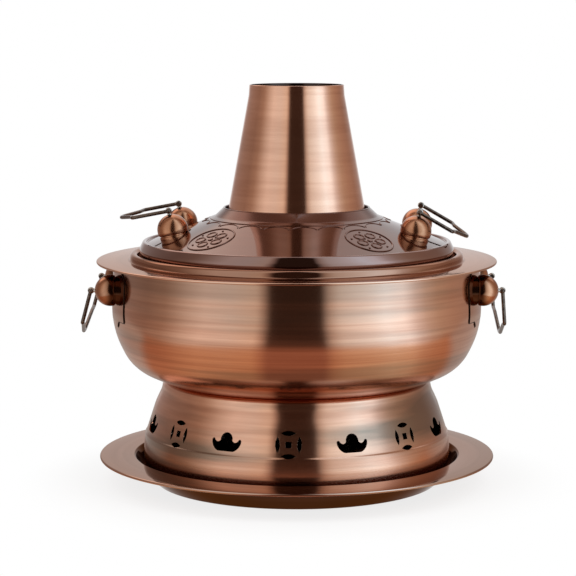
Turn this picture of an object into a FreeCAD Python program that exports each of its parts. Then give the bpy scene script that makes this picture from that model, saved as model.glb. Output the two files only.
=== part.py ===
import FreeCAD, Part
import math
import os
from dataclasses import dataclass

from FreeCAD import Rotation, Vector

# Chimney hot pot, in millimetres.
# Origin: centre of the tray's underside. +Z up, -Y front, the handles on +X and -X.

UP = Vector(0, 0, 1)
ORIGIN = Vector(0, 0, 0)
HINGE_LINE = Vector(0, 1, 0)
SIDES = (("right", 1), ("left", -1))
ENDS = (("front", -1), ("rear", 1))
FRONT_AZIMUTH = -90.0
FULL_TURN = 360.0
QUARTER_TURN = 90.0
SAME_POINT = 1e-6

# Clearances
slip_gap = 0.3
sleeve_gap = 1.0
thread_gap = 0.1
hinge_gap = 0.05

# Tray
tray_sheet = 1.2
tray_radius = 171.0
tray_height = 24.0
tray_edge_bead = 1.2
tray_recess_swell = 4.7
tray_recess_rounding = 1.5
tray_hip_swell = 14.3
tray_hip_height = 13.2
tray_hip_rounding = 8.0
tray_floor_radius = 122.0
tray_floor_rounding = 5.0

# Vented base
base_sheet = 1.2
base_height = 89.5
base_foot_width = 8.0
base_foot_inset = 3.0
base_foot_rounding = 4.0
base_heel_swell = 12.0
base_heel_height = 9.3
base_heel_rounding = 8.0
base_bulge_swell = 2.3
base_bulge_height = 24.8
base_bulge_rounding = 60.0
base_step_inset = 1.7
base_step_height = 42.4
base_step_depth = 1.2
base_step_rounding = 0.6
base_flank_inset = 9.4
base_flank_height = 68.8
base_flank_rounding = 55.0
base_shoulder_swell = 1.4
base_shoulder_height = 80.8
base_shoulder_rounding = 20.0
base_lip_width = 7.0
base_lip_rounding = 1.6

# Vents in the base
vent_places = 15
vent_pitch_angle = 24.0
vent_turn = -3.0
vent_height = 53.8
coin_radius = 11.0
coin_slot_width = 4.0
coin_square = 5.0
ingot_floor_width = 14.0
ingot_width = 27.0
ingot_height = 15.0
ingot_ear_height = 10.0
ingot_ear_width = 3.0
ingot_dome_width = 11.0

# Bowl
bowl_sheet = 1.2
bowl_depth = 101.3
bowl_foot_radius = 116.4
bowl_foot_rounding = 3.0
bowl_hip_inset = 16.4
bowl_hip_height = 11.8
bowl_hip_rounding = 38.0
bowl_flank_inset = 1.9
bowl_flank_height = 40.8
bowl_flank_rounding = 75.0
bowl_belly_radius = 159.4
bowl_belly_height = 62.0
bowl_belly_rounding = 75.0
bowl_neck_inset = 1.7

# Rim ring on the bowl
rim_sheet = 1.2
rim_overhang = 12.9
rim_edge_bead = 0.95
rim_ridge_inset = 16.2
rim_ridge_width = 6.2
rim_ridge_height = 6.2
rim_ridge_rounding = 2.6
rim_ledge_width = 7.4
rim_ledge_drop = 2.6
rim_rounding = 1.4

# Fire tube, fire drum and grate
tube_sheet = 1.2
tube_hole_radius = 61.5
tube_foot_width = 5.5
tube_foot_radius = 62.8
tube_foot_rounding = 1.5
tube_spigot_height = 14.0
drum_sheet = 1.2
drum_radius = 62.7
drum_height = 60.0
drum_flange_width = 8.0
drum_ledge_inner = 48.0
drum_rounding = 1.5
drum_hole_count = 12
drum_hole_radius = 5.0
drum_hole_height = 17.0
grate_radius = 54.5
grate_thickness = 4.0
grate_rim_width = 5.0
grate_slot_width = 6.0
grate_bar_width = 5.0

# Chimney
chimney_sheet = 1.2
chimney_foot_rise = 32.8
chimney_foot_radius = 60.6
chimney_taper_length = 108.0
chimney_taper_radius = 41.0
chimney_taper_rounding = 6.0
chimney_mouth_length = 9.0
chimney_top_radius = 40.4

# Lid
lid_sheet = 1.2
lid_turn = -4.0
lid_skirt_gap = 3.5
lid_bead_swell = 1.8
lid_bead_rise = 12.6
lid_bead_rounding = 5.0
lid_crown_inset = 1.3
lid_crown_rise = 19.0
lid_crown_rounding = 2.0
lid_groove_edge_inset = 3.9
lid_groove_inset = 4.5
lid_groove_depth = 2.1
lid_groove_rounding = 1.4
lid_groove_floor_rounding = 0.4
lid_slope = 21.2
lid_hole_radius = 66.0

# Collar round the lid's hole
collar_sheet = 1.0
collar_foot_radius = 74.6
collar_foot_rise = 0.6
collar_flare_inset = 4.2
collar_flare_rise = 1.6
collar_flare_rounding = 5.0
collar_lip_bead = 0.8
collar_sleeve_depth = 12.0
collar_lip_rise = 6.4

# Medallions pressed into the lid
medallion_turns = (-140.0, -40.0, 40.0, 140.0)
medallion_shift = 1.2
medallion_margin = 6.4
medallion_rim_width = 1.4
medallion_relief = 0.7
blossom_petals = 5
blossom_petal_share = 0.21
blossom_reach_share = 0.44
blossom_eye_share = 0.144

# Knobs that carry the bails
knob_radius = 13.2
knob_centre_rise = 3.9
knob_groove_height = 0.8
knob_groove_depth = 1.2
knob_foot_depth = 9.0
knob_foot_inset = 0.5
knob_screw_depth = 9.0
lid_knob_inset = 26.7
lid_knob_spread = 34.0
lid_knob_tilt = 12.0
lid_knob_lift = 1.6
side_knob_spread = 50.0
side_knob_drop = 20.0
side_knob_lift = 0.6

# Eyes on the knobs
eye_height = 20.2
eye_radius = 2.9
eye_width = 2.2
eye_stem_radius = 1.2
eye_stem_depth = 5.0

# Bails
bail_wire_radius = 1.6
bail_pin_radius = 1.3
bail_knuckle_radius = 2.2
bail_cap_radius = 2.1
bail_cap_width = 0.8
bail_nose_length = 14.5
bail_step_length = 2.2
bail_step_width = 13.5
bail_bend_radius = 2.4
bail_nose_half_width = 5.0
bail_nose_rounding = 12.0
lid_bail_length = 46.0
side_bail_length = 42.5
lid_bail_angles = {"right": 30.0, "left": 11.0}
side_bail_angles = {"right": 4.0, "left": 15.0}

# Screws and sealing washers behind the knobs
screw_radius = 2.0
screw_head_radius = 4.0
screw_head_height = 2.0
screw_tip_gap = 2.0
washer_radius = 5.5
washer_thickness = 0.8

# Shield plates behind the side knobs
plate_sheet = 0.9
plate_half_width = 19.0
plate_shoulder_drop = 25.6
plate_point_drop = 31.0
plate_point_width = 6.5
plate_cheek_rise = 4.0
plate_crown_rise = 15.5
plate_crown_half_width = 11.0
plate_swell_share = 0.65

# Sizes that follow
tray_hip_radius = tray_floor_radius + tray_hip_swell
tray_recess_radius = tray_hip_radius + tray_recess_swell
base_foot_radius = tray_floor_radius - base_foot_inset
base_heel_radius = base_foot_radius + base_heel_swell
base_bulge_radius = base_heel_radius + base_bulge_swell
base_step_radius = base_bulge_radius - base_step_inset
base_flank_radius = base_step_radius - base_flank_inset
base_lip_radius = bowl_foot_radius - bowl_sheet
base_shoulder_radius = base_lip_radius + base_shoulder_swell
bowl_hip_radius = bowl_belly_radius - bowl_hip_inset
bowl_flank_radius = bowl_belly_radius - bowl_flank_inset
bowl_neck_radius = bowl_belly_radius - bowl_neck_inset
rim_radius = bowl_belly_radius + rim_overhang
rim_ridge_outer = bowl_belly_radius - rim_ridge_inset
rim_ridge_inner = rim_ridge_outer - rim_ridge_width
rim_ledge_inner = rim_ridge_inner - rim_ledge_width
lid_skirt_radius = rim_ridge_inner - lid_skirt_gap
lid_bead_radius = lid_skirt_radius + lid_bead_swell
lid_crown_radius = lid_skirt_radius - lid_crown_inset
lid_groove_outer = lid_skirt_radius - lid_groove_edge_inset
lid_groove_radius = lid_skirt_radius - lid_groove_inset
lid_knob_reach = lid_groove_radius - lid_knob_inset
collar_flare_radius = collar_foot_radius - collar_flare_inset
medallion_centre_radius = (collar_foot_radius + lid_groove_radius) / 2 + medallion_shift
medallion_radius = (lid_groove_radius - collar_foot_radius) / 2 - medallion_margin
blossom_petal_radius = medallion_radius * blossom_petal_share
blossom_petal_reach = medallion_radius * blossom_reach_share
blossom_eye_radius = medallion_radius * blossom_eye_share
seam_height = tray_sheet + base_height
bowl_floor_height = seam_height + bowl_sheet
rim_underside = seam_height + bowl_depth
rim_top = rim_underside + rim_sheet
ledge_top = rim_top - rim_ledge_drop
lid_groove_height = ledge_top + lid_crown_rise - lid_groove_depth
drum_floor_height = seam_height - drum_height
grate_height = drum_floor_height + drum_sheet
side_knob_height = rim_underside - side_knob_drop
chimney_foot_height = rim_top + chimney_foot_rise
chimney_taper_height = chimney_foot_height + chimney_taper_length
chimney_slope = (chimney_foot_radius - chimney_taper_radius) / chimney_taper_length
sleeve_inner_radius = chimney_foot_radius + sleeve_gap
knob_foot_radius = math.sqrt(knob_radius ** 2 - knob_centre_rise ** 2)


# ---------------------------------------------------------------- sections


def section_point(corner):
    """The point of a corner (radius, height, rounding) in the XZ plane."""
    return Vector(corner[0], 0, corner[1])


def add_line(edges, start, end):
    """Append a straight edge, unless its ends coincide."""
    if start.distanceToPoint(end) > SAME_POINT:
        edges.append(Part.LineSegment(start, end).toShape())


def rounded_path(points, roundings):
    """Edges along an open run of points, with each inner corner rounded."""
    edges = []
    start = points[0]
    for before, corner, after, rounding in zip(points, points[1:], points[2:], roundings[1:]):
        if rounding <= 0:
            add_line(edges, start, corner)
            start = corner
            continue
        back = (before - corner).normalize()
        ahead = (after - corner).normalize()
        half_angle = back.getAngle(ahead) / 2
        reach = rounding / math.tan(half_angle)
        middle_way = (back + ahead).normalize()
        arc_start = corner + back * reach
        arc_middle = corner + middle_way * (rounding / math.sin(half_angle) - rounding)
        arc_end = corner + ahead * reach
        add_line(edges, start, arc_start)
        edges.append(Part.Arc(arc_start, arc_middle, arc_end).toShape())
        start = arc_end
    add_line(edges, start, points[-1])
    return edges


def section_path(corners):
    """Edges along corners (radius, height, rounding) in the XZ plane."""
    return rounded_path([section_point(c) for c in corners], [c[2] for c in corners])


def offset_corners(corners, distance):
    """The same run of corners, moved to the left of its direction."""
    steps = []
    for here, there in zip(corners, corners[1:]):
        length = math.hypot(there[0] - here[0], there[1] - here[1])
        steps.append(((there[0] - here[0]) / length, (there[1] - here[1]) / length))
    moved = []
    for index, (radius, height, rounding) in enumerate(corners):
        before = steps[max(index - 1, 0)]
        after = steps[min(index, len(steps) - 1)]
        scale = distance / (1 + before[0] * after[0] + before[1] * after[1])
        turn = before[0] * after[1] - before[1] * after[0]
        grown = rounding - distance * math.copysign(1, turn) if rounding > 0 else 0
        moved.append((
            radius - (before[1] + after[1]) * scale,
            height + (before[0] + after[0]) * scale,
            max(grown, 0),
        ))
    return moved


def spun(edges):
    """The solid that a closed run of edges in the XZ plane sweeps round Z."""
    face = Part.Face(Part.Wire(Part.__sortEdges__(edges)))
    return face.revolve(ORIGIN, UP, FULL_TURN)


def spun_sheet(corners, thickness):
    """Spun sheet metal. Its corners lie on one face, its thickness to their left."""
    inner = offset_corners(corners, thickness)
    edges = section_path(corners) + section_path(inner)
    add_line(edges, section_point(corners[0]), section_point(inner[0]))
    add_line(edges, section_point(corners[-1]), section_point(inner[-1]))
    return spun(edges)


def spun_solid(corners):
    """Solid of revolution with sharp corners (radius, height)."""
    points = [Vector(radius, 0, height) for radius, height in corners]
    return Part.Face(Part.makePolygon(points + points[:1])).revolve(ORIGIN, UP, FULL_TURN)


def edge_bead(radius, height, bead_radius):
    """Rolled edge round a sheet's rim."""
    return Part.makeTorus(radius, bead_radius, Vector(0, 0, height), UP)


def rod(start, direction, radius, length):
    """Round bar from a point along a direction."""
    return Part.makeCylinder(radius, length, start, direction)


def turned(shape, degrees):
    """A copy turned about Z."""
    copy = shape.copy()
    copy.rotate(ORIGIN, UP, degrees)
    return copy


def solid_of(shape):
    """The one solid of a boolean result, with needless seams removed."""
    return shape.removeSplitter().Solids[0]


# ---------------------------------------------------------------- tray and base


def make_tray():
    """Drip tray: wide flat flange with a rolled edge round a dished floor."""
    flange_underside = tray_height - tray_sheet
    edge_radius = tray_radius - tray_edge_bead
    sheet = spun_sheet(
        [
            (0, 0, 0),
            (tray_floor_radius, 0, tray_floor_rounding),
            (tray_hip_radius, tray_hip_height, tray_hip_rounding),
            (tray_recess_radius, flange_underside, tray_recess_rounding),
            (edge_radius, flange_underside, 0),
        ],
        tray_sheet,
    )
    bead = edge_bead(edge_radius, tray_height - tray_edge_bead, tray_edge_bead)
    return solid_of(sheet.fuse(bead))


def coin_cutters(depth):
    """Old coin pattern: four lens slots round a square hole, along +X."""
    cutters = [Part.makeBox(depth, coin_square, coin_square, Vector(0, -coin_square / 2, -coin_square / 2))]
    offset = 2 * coin_radius - coin_slot_width
    disc = rod(ORIGIN, Vector(1, 0, 0), coin_radius, depth)
    for direction in (Vector(0, 1, 0), Vector(0, 0, 1), Vector(0, -1, 0), Vector(0, 0, -1)):
        other = rod(direction * offset, Vector(1, 0, 0), coin_radius, depth)
        cutters.append(disc.common(other))
    return cutters


def ingot_cutter(depth):
    """Boat-shaped ingot with a domed middle and two raised ears, along +X."""
    floor = -ingot_height / 2
    ear_top = floor + ingot_ear_height
    half_width = ingot_width / 2
    half_dome = ingot_dome_width / 2
    ear_middle = half_width - ingot_ear_width / 2
    saddle = ear_top - ingot_ear_width / 2

    def at(across, height):
        return Vector(0, across, height)

    edges = []
    for way in (1, -1):
        floor_end = at(way * ingot_floor_width / 2, floor)
        ear_outer = at(way * half_width, saddle)
        ear_inner = at(way * (half_width - ingot_ear_width), saddle)
        dome_foot = at(way * half_dome, saddle)
        hull_bulge = at(way * (ingot_floor_width + 3 * ingot_width) / 8, (2 * floor + saddle) / 3)
        add_line(edges, at(0, floor), floor_end)
        edges.append(Part.Arc(floor_end, hull_bulge, ear_outer).toShape())
        edges.append(Part.Arc(ear_outer, at(way * ear_middle, ear_top), ear_inner).toShape())
        saddle_dip = at(way * (half_dome + half_width - ingot_ear_width) / 2, saddle - ingot_ear_width / 2)
        edges.append(Part.Arc(ear_inner, saddle_dip, dome_foot).toShape())
    dome_top = at(0, floor + ingot_height)
    edges.append(Part.Arc(at(half_dome, saddle), dome_top, at(-half_dome, saddle)).toShape())
    face = Part.Face(Part.Wire(Part.__sortEdges__(edges)))
    return face.extrude(Vector(depth, 0, 0))


def make_base():
    """Vented base: a waisted skirt with a turned-in foot and a lip under the bowl."""
    step_height = tray_sheet + base_step_height
    skirt = spun_sheet(
        [
            (base_foot_radius - base_foot_width, tray_sheet, 0),
            (base_foot_radius, tray_sheet, base_foot_rounding),
            (base_heel_radius, tray_sheet + base_heel_height, base_heel_rounding),
            (base_bulge_radius, tray_sheet + base_bulge_height, base_bulge_rounding),
            (base_step_radius, step_height, base_step_rounding),
            (base_step_radius - base_step_depth, step_height + base_step_depth, base_step_rounding),
            (base_flank_radius, tray_sheet + base_flank_height, base_flank_rounding),
            (base_shoulder_radius, tray_sheet + base_shoulder_height, base_shoulder_rounding),
            (base_lip_radius, seam_height, base_lip_rounding),
            (base_lip_radius - base_lip_width, seam_height, 0),
        ],
        base_sheet,
    )
    depth = base_bulge_radius
    cutters = []
    for place in range(vent_places):
        steps_from_front = place - vent_places // 2
        kind = coin_cutters(depth) if steps_from_front % 2 == 0 else [ingot_cutter(depth)]
        azimuth = FRONT_AZIMUTH + vent_turn + steps_from_front * vent_pitch_angle
        for cutter in kind:
            cutter.translate(Vector(base_shoulder_radius / 2, 0, tray_sheet + vent_height))
            cutters.append(turned(cutter, azimuth))
    return solid_of(skirt.cut(Part.makeCompound(cutters)))


# ---------------------------------------------------------------- pot


def bowl_wall_corners():
    """Outer face of the bowl above its foot, from the foot to the rim."""
    return [
        (bowl_foot_radius, seam_height, bowl_foot_rounding),
        (bowl_hip_radius, seam_height + bowl_hip_height, bowl_hip_rounding),
        (bowl_flank_radius, seam_height + bowl_flank_height, bowl_flank_rounding),
        (bowl_belly_radius, seam_height + bowl_belly_height, bowl_belly_rounding),
        (bowl_neck_radius, rim_underside, 0),
    ]


def make_bowl():
    """Soup bowl with a flat floor, open in the middle for the fire tube."""
    return spun_sheet([(tube_hole_radius, seam_height, 0)] + bowl_wall_corners(), bowl_sheet)


def make_rim_ring():
    """Flat rim with a raised ridge and an inner ledge that carries the lid."""
    ridge_top = rim_top + rim_ridge_height
    edge_radius = rim_radius - rim_edge_bead
    sheet = spun_sheet(
        [
            (edge_radius, rim_top, 0),
            (rim_ridge_outer, rim_top, rim_rounding),
            (rim_ridge_outer, ridge_top, rim_ridge_rounding),
            (rim_ridge_inner, ridge_top, rim_ridge_rounding),
            (rim_ridge_inner, ledge_top, rim_rounding),
            (rim_ledge_inner, ledge_top, 0),
        ],
        rim_sheet,
    )
    bead = edge_bead(edge_radius, rim_top - rim_edge_bead, rim_edge_bead)
    return solid_of(sheet.fuse(bead))


def make_fire_tube():
    """Flue through the bowl, with a shoulder and a tapered spigot for the chimney."""
    foot_top = bowl_floor_height + tube_sheet
    spigot_foot = chimney_foot_radius - chimney_sheet - slip_gap
    spigot_top = spigot_foot - chimney_slope * tube_spigot_height
    return spun_sheet(
        [
            (tube_foot_radius + tube_foot_width, foot_top, 0),
            (tube_foot_radius, foot_top, tube_foot_rounding),
            (chimney_foot_radius, chimney_foot_height, 0),
            (spigot_foot, chimney_foot_height, 0),
            (spigot_top, chimney_foot_height + tube_spigot_height, 0),
        ],
        tube_sheet,
    )


def make_fire_drum():
    """Charcoal drum under the bowl, with draught holes and a ledge for the grate."""
    drum = spun_sheet(
        [
            (drum_ledge_inner, drum_floor_height, 0),
            (drum_radius, drum_floor_height, drum_rounding + drum_sheet),
            (drum_radius, seam_height - drum_sheet, drum_rounding),
            (drum_radius + drum_flange_width, seam_height - drum_sheet, 0),
        ],
        drum_sheet,
    )
    start = Vector(drum_radius / 2, 0, drum_floor_height + drum_hole_height)
    hole = rod(start, Vector(1, 0, 0), drum_hole_radius, drum_radius)
    holes = [turned(hole, index * FULL_TURN / drum_hole_count) for index in range(drum_hole_count)]
    return solid_of(drum.cut(Part.makeCompound(holes)))


def make_grate():
    """Cast charcoal grate: a slotted disc that lies on the drum's ledge."""
    grate = rod(Vector(0, 0, grate_height), UP, grate_radius, grate_thickness)
    open_radius = grate_radius - grate_rim_width
    pitch = grate_slot_width + grate_bar_width
    reach = int((open_radius - grate_slot_width / 2) // pitch)
    slots = []
    for row in range(-reach, reach + 1):
        far_side = abs(row) * pitch + grate_slot_width / 2
        half_length = math.sqrt(open_radius ** 2 - far_side ** 2)
        corner = Vector(-half_length, row * pitch - grate_slot_width / 2, grate_height)
        slots.append(Part.makeBox(2 * half_length, grate_slot_width, grate_thickness, corner))
    return solid_of(grate.cut(Part.makeCompound(slots)))


def make_chimney():
    """Tapered chimney with a short straight mouth, open at both ends."""
    below_foot = chimney_foot_height - chimney_sheet
    wall = spun_sheet(
        [
            (chimney_foot_radius + chimney_slope * chimney_sheet, below_foot, 0),
            (chimney_taper_radius, chimney_taper_height, chimney_taper_rounding),
            (chimney_top_radius, chimney_taper_height + chimney_mouth_length, 0),
        ],
        chimney_sheet,
    )
    below = rod(Vector(0, 0, chimney_foot_height), UP * -1, 2 * chimney_foot_radius, 2 * chimney_sheet)
    return solid_of(wall.cut(below))


# ---------------------------------------------------------------- lid


def lid_surface_height(radius):
    """Height of the lid's sloping top at a radius."""
    return lid_groove_height + (lid_groove_radius - radius) * math.tan(math.radians(lid_slope))


def lid_surface_normal(azimuth):
    """Outward normal of the lid's sloping top at an azimuth, in degrees."""
    tilt = math.radians(lid_slope)
    turn = math.radians(azimuth)
    return Vector(math.sin(tilt) * math.cos(turn), math.sin(tilt) * math.sin(turn), math.cos(tilt))


def lid_skin(thickness):
    """A layer that lies on the lid's sloping top."""
    corners = [
        (lid_groove_radius, lid_groove_height, 0),
        (lid_hole_radius, lid_surface_height(lid_hole_radius), 0),
    ]
    return spun_sheet(corners, -thickness)


def under_lid_surface():
    """Everything under the lid's sloping top, down to its ledge."""
    return spun_solid(
        [
            (lid_hole_radius, ledge_top),
            (lid_groove_radius, ledge_top),
            (lid_groove_radius, lid_groove_height),
            (lid_hole_radius, lid_surface_height(lid_hole_radius)),
        ]
    )


def make_medallion(azimuth):
    """Raised round border with a five-petalled blossom, on the lid's slope."""
    turn = math.radians(azimuth)
    centre = Vector(
        medallion_centre_radius * math.cos(turn),
        medallion_centre_radius * math.sin(turn),
        lid_surface_height(medallion_centre_radius),
    )
    normal = lid_surface_normal(azimuth)
    start = centre - normal * medallion_rim_width
    length = 3 * medallion_rim_width
    border = rod(start, normal, medallion_radius, length)
    border = border.cut(rod(start, normal, medallion_radius - medallion_rim_width, length))
    stamps = [border, rod(start, normal, blossom_eye_radius, length)]
    across = UP.cross(normal).normalize()
    for petal in range(blossom_petals):
        way = Rotation(normal, petal * FULL_TURN / blossom_petals).multVec(across)
        stamps.append(rod(start + way * blossom_petal_reach, normal, blossom_petal_radius, length))
    return lid_skin(medallion_relief).common(Part.makeCompound(stamps))


def make_lid():
    """Ring-shaped lid: rolled outer bead, groove and sloping top with medallions."""
    crown_top = ledge_top + lid_crown_rise
    sheet = spun_sheet(
        [
            (lid_skirt_radius, ledge_top, 0),
            (lid_bead_radius, ledge_top + lid_bead_rise, lid_bead_rounding),
            (lid_crown_radius, crown_top, lid_crown_rounding),
            (lid_groove_outer, crown_top, lid_groove_rounding),
            (lid_groove_radius, lid_groove_height, lid_groove_floor_rounding),
            (lid_hole_radius, lid_surface_height(lid_hole_radius), 0),
        ],
        lid_sheet,
    )
    for azimuth in medallion_turns:
        sheet = sheet.fuse(make_medallion(FRONT_AZIMUTH + azimuth))
    return solid_of(sheet)


def make_collar():
    """Flared collar on the lid's hole, with a sleeve round the chimney."""
    foot_height = lid_surface_height(collar_foot_radius) + collar_foot_rise
    sleeve_outer = sleeve_inner_radius + collar_sheet
    lip_height = lid_surface_height(lid_hole_radius) + collar_lip_rise - collar_lip_bead
    flare = spun_sheet(
        [
            (collar_foot_radius, foot_height, 0),
            (collar_flare_radius, foot_height + collar_flare_rise, collar_flare_rounding),
            (sleeve_outer, lip_height, 0),
        ],
        collar_sheet,
    )
    foot = spun_solid(
        [
            (collar_foot_radius, foot_height),
            (collar_foot_radius, foot_height - collar_sheet - collar_foot_rise),
            (collar_flare_radius, foot_height),
        ]
    )
    sleeve = spun_solid(
        [
            (sleeve_inner_radius, lip_height - collar_sleeve_depth),
            (sleeve_outer, lip_height - collar_sleeve_depth),
            (sleeve_outer, lip_height),
            (sleeve_inner_radius, lip_height),
        ]
    )
    lip = edge_bead(sleeve_inner_radius + collar_lip_bead, lip_height, collar_lip_bead)
    return solid_of(flare.fuse([foot, sleeve, lip]).cut(under_lid_surface()))


# ---------------------------------------------------------------- knobs, eyes, screws


@dataclass
class Seat:
    """Where a knob stands: its groove plane, its axis and its screw's grip below the plane."""

    point: Vector
    axis: Vector
    grip: float


def screw_grip(lift, sheets, lean):
    """Depth of a screw head below the groove plane, on sheets that lean by an angle."""
    return lift + sheets / math.cos(lean) + washer_radius * math.tan(lean) + washer_thickness


def knob_blank(seat):
    """Domed knob above a groove, with a foot that reaches into what carries it."""
    point, axis = seat.point, seat.axis
    dome = Part.makeSphere(knob_radius, point + axis * knob_centre_rise, axis)
    below = rod(point, axis * -1, 2 * knob_radius, 2 * knob_radius)
    groove_floor = point - axis * knob_groove_height
    groove = rod(groove_floor, axis, knob_foot_radius - knob_groove_depth, knob_groove_height)
    foot = rod(groove_floor, axis * -1, knob_foot_radius - knob_foot_inset, knob_foot_depth)
    return dome.cut(below).fuse([groove, foot])


def make_knob(seat, carrier):
    """Knob fitted to its carrier and bored for its screw and its eye."""
    point, axis = seat.point, seat.axis
    stem_floor = point + axis * (knob_centre_rise + knob_radius - eye_stem_depth)
    stem_bore = rod(stem_floor, axis, eye_stem_radius + thread_gap, 2 * eye_stem_depth)
    bore_floor = point - axis * knob_foot_depth
    screw_bore = rod(bore_floor, axis, screw_radius + thread_gap, knob_foot_depth + knob_screw_depth)
    fitted = knob_blank(seat).cut(carrier).cut(stem_bore).cut(screw_bore)
    return max(fitted.Solids, key=lambda solid: solid.Volume)


def eye_centre(seat):
    """Middle of the eye on a knob."""
    return seat.point + seat.axis * eye_height


def make_eye(seat):
    """Ring on a stem. Its hole lies along the hinge line."""
    centre = eye_centre(seat)
    stem_floor = knob_centre_rise + knob_radius - eye_stem_depth
    stem = rod(seat.point + seat.axis * stem_floor, seat.axis, eye_stem_radius, eye_height - stem_floor)
    ring_start = centre - HINGE_LINE * (eye_width / 2)
    ring = rod(ring_start, HINGE_LINE, eye_radius, eye_width)
    hole_start = centre - HINGE_LINE * eye_width
    hole = rod(hole_start, HINGE_LINE, bail_pin_radius + hinge_gap, 2 * eye_width)
    return solid_of(stem.fuse(ring).cut(hole))


def make_screw(seat):
    """Pan-head screw from behind, into the knob."""
    head_top = seat.point - seat.axis * seat.grip
    shank_length = seat.grip + knob_screw_depth - screw_tip_gap
    head = rod(head_top, seat.axis * -1, screw_head_radius, screw_head_height)
    return solid_of(head.fuse(rod(head_top, seat.axis, screw_radius, shank_length)))


def make_washer(seat, sheet):
    """Soft washer pressed between a screw head and the curved sheet."""
    start = seat.point - seat.axis * seat.grip
    blank = rod(start, seat.axis, washer_radius, seat.grip)
    blank = blank.cut(rod(start, seat.axis, screw_radius + thread_gap, seat.grip))
    pieces = blank.cut(sheet).Solids
    return min(pieces, key=lambda solid: solid.CenterOfMass.distanceToPoint(start))


def screw_hole(seat):
    """Clearance hole for a knob's screw."""
    start = seat.point - seat.axis * 2 * seat.grip
    return rod(start, seat.axis, screw_radius + slip_gap, 3 * seat.grip)


def lid_knob_seat():
    """The seat of the knob at the right rear of the lid, before the lid is turned."""
    tilt = math.radians(lid_knob_tilt)
    axis = Vector(math.sin(tilt), 0, math.cos(tilt))
    height = lid_surface_height(math.hypot(lid_knob_reach, lid_knob_spread)) + lid_knob_lift
    point = Vector(lid_knob_reach, lid_knob_spread, height)
    normal = lid_surface_normal(math.degrees(math.atan2(point.y, point.x)))
    return Seat(point, axis, screw_grip(lid_knob_lift, lid_sheet, axis.getAngle(normal)))


def side_knob_seat():
    """The seat of the knob at the right rear of the bowl's wall."""
    wall_radius = bowl_belly_radius + plate_sheet
    reach = math.sqrt(wall_radius ** 2 - side_knob_spread ** 2) + side_knob_lift
    lean = math.asin(side_knob_spread / wall_radius)
    point = Vector(reach, side_knob_spread, side_knob_height)
    return Seat(point, Vector(1, 0, 0), screw_grip(side_knob_lift, plate_sheet + bowl_sheet, lean))


def at_each_corner(shape):
    """The shape at the right rear and its mirror images, by corner."""
    images = {}
    for side, way in SIDES:
        for end, end_way in ENDS:
            image = shape if way > 0 else shape.mirror(ORIGIN, Vector(1, 0, 0))
            images[side + "_" + end] = image if end_way > 0 else image.mirror(ORIGIN, HINGE_LINE)
    return images


# ---------------------------------------------------------------- plates and bails


def shield_outline():
    """Shield shape in the YZ plane round the knob's centre, extruded along +X."""
    def at(across, height):
        return Vector(0, across, height)

    edges = []
    shoulder = -plate_shoulder_drop
    for way in (1, -1):
        point = at(0, -plate_point_drop)
        notch = at(way * plate_point_width, shoulder)
        hollow = at(way * plate_point_width / 3, (shoulder - plate_point_drop) / 2 + plate_point_width / 6)
        corner = at(way * plate_half_width, shoulder)
        cheek = at(way * plate_half_width, plate_cheek_rise)
        crown = at(way * plate_crown_half_width, plate_crown_rise)
        swell = at(way * (plate_half_width - (plate_half_width - plate_crown_half_width) / 4),
                   plate_cheek_rise + (plate_crown_rise - plate_cheek_rise) * plate_swell_share)
        edges.append(Part.Arc(point, hollow, notch).toShape())
        add_line(edges, notch, corner)
        add_line(edges, corner, cheek)
        edges.append(Part.Arc(cheek, swell, crown).toShape())
        add_line(edges, crown, at(0, plate_crown_rise))
    face = Part.Face(Part.Wire(Part.__sortEdges__(edges)))
    return face.extrude(Vector(bowl_belly_radius, 0, 0))


def make_plate(seat):
    """Shield plate that follows the bowl's wall behind a knob."""
    azimuth = math.degrees(math.atan2(seat.point.y, seat.point.x))
    outline = shield_outline()
    outline.translate(Vector(bowl_belly_radius / 2, 0, seat.point.z))
    layer = spun_sheet(bowl_wall_corners(), -plate_sheet)
    plate = layer.common(turned(outline, azimuth))
    return solid_of(plate.cut(screw_hole(seat)))


def under_plates():
    """Everything inside the outer face of the shield plates."""
    wall = offset_corners(bowl_wall_corners(), -plate_sheet)
    top = Vector(0, 0, wall[-1][1])
    bottom = Vector(0, 0, wall[0][1])
    edges = section_path(wall)
    add_line(edges, section_point(wall[-1]), top)
    add_line(edges, top, bottom)
    add_line(edges, bottom, section_point(wall[0]))
    return spun(edges)


def bail_wire(half_width, length):
    """Bent wire in the XY plane: two arms that step in to a blunt nose."""
    arm_length = length - bail_nose_length
    half = [
        (0, half_width, 0),
        (arm_length, half_width, bail_bend_radius),
        (arm_length + bail_step_length, half_width - bail_step_width, bail_bend_radius),
        (length, bail_nose_half_width, bail_nose_rounding),
    ]
    run = half + [(x, -y, rounding) for x, y, rounding in reversed(half)]
    edges = rounded_path([Vector(x, y, 0) for x, y, rounding in run], [corner[2] for corner in run])
    section = Part.Wire(Part.makeCircle(bail_wire_radius, Vector(0, half_width, 0), Vector(1, 0, 0)))
    return Part.Wire(edges).makePipeShell([section], True, True)


def make_bail(spread, length):
    """Wire bail with a pin through each eye, hinged on its own Y axis."""
    knuckle_y = spread + eye_width / 2 + slip_gap + bail_knuckle_radius
    cap_start = spread - eye_width / 2 - slip_gap - bail_cap_width
    pieces = []
    for way in (1, -1):
        direction = Vector(0, way, 0)
        pieces.append(Part.makeSphere(bail_knuckle_radius, direction * knuckle_y))
        pieces.append(rod(direction * cap_start, direction, bail_pin_radius, knuckle_y - cap_start))
        pieces.append(rod(direction * cap_start, direction, bail_cap_radius, bail_cap_width))
    return solid_of(bail_wire(knuckle_y, length).fuse(pieces))


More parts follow.
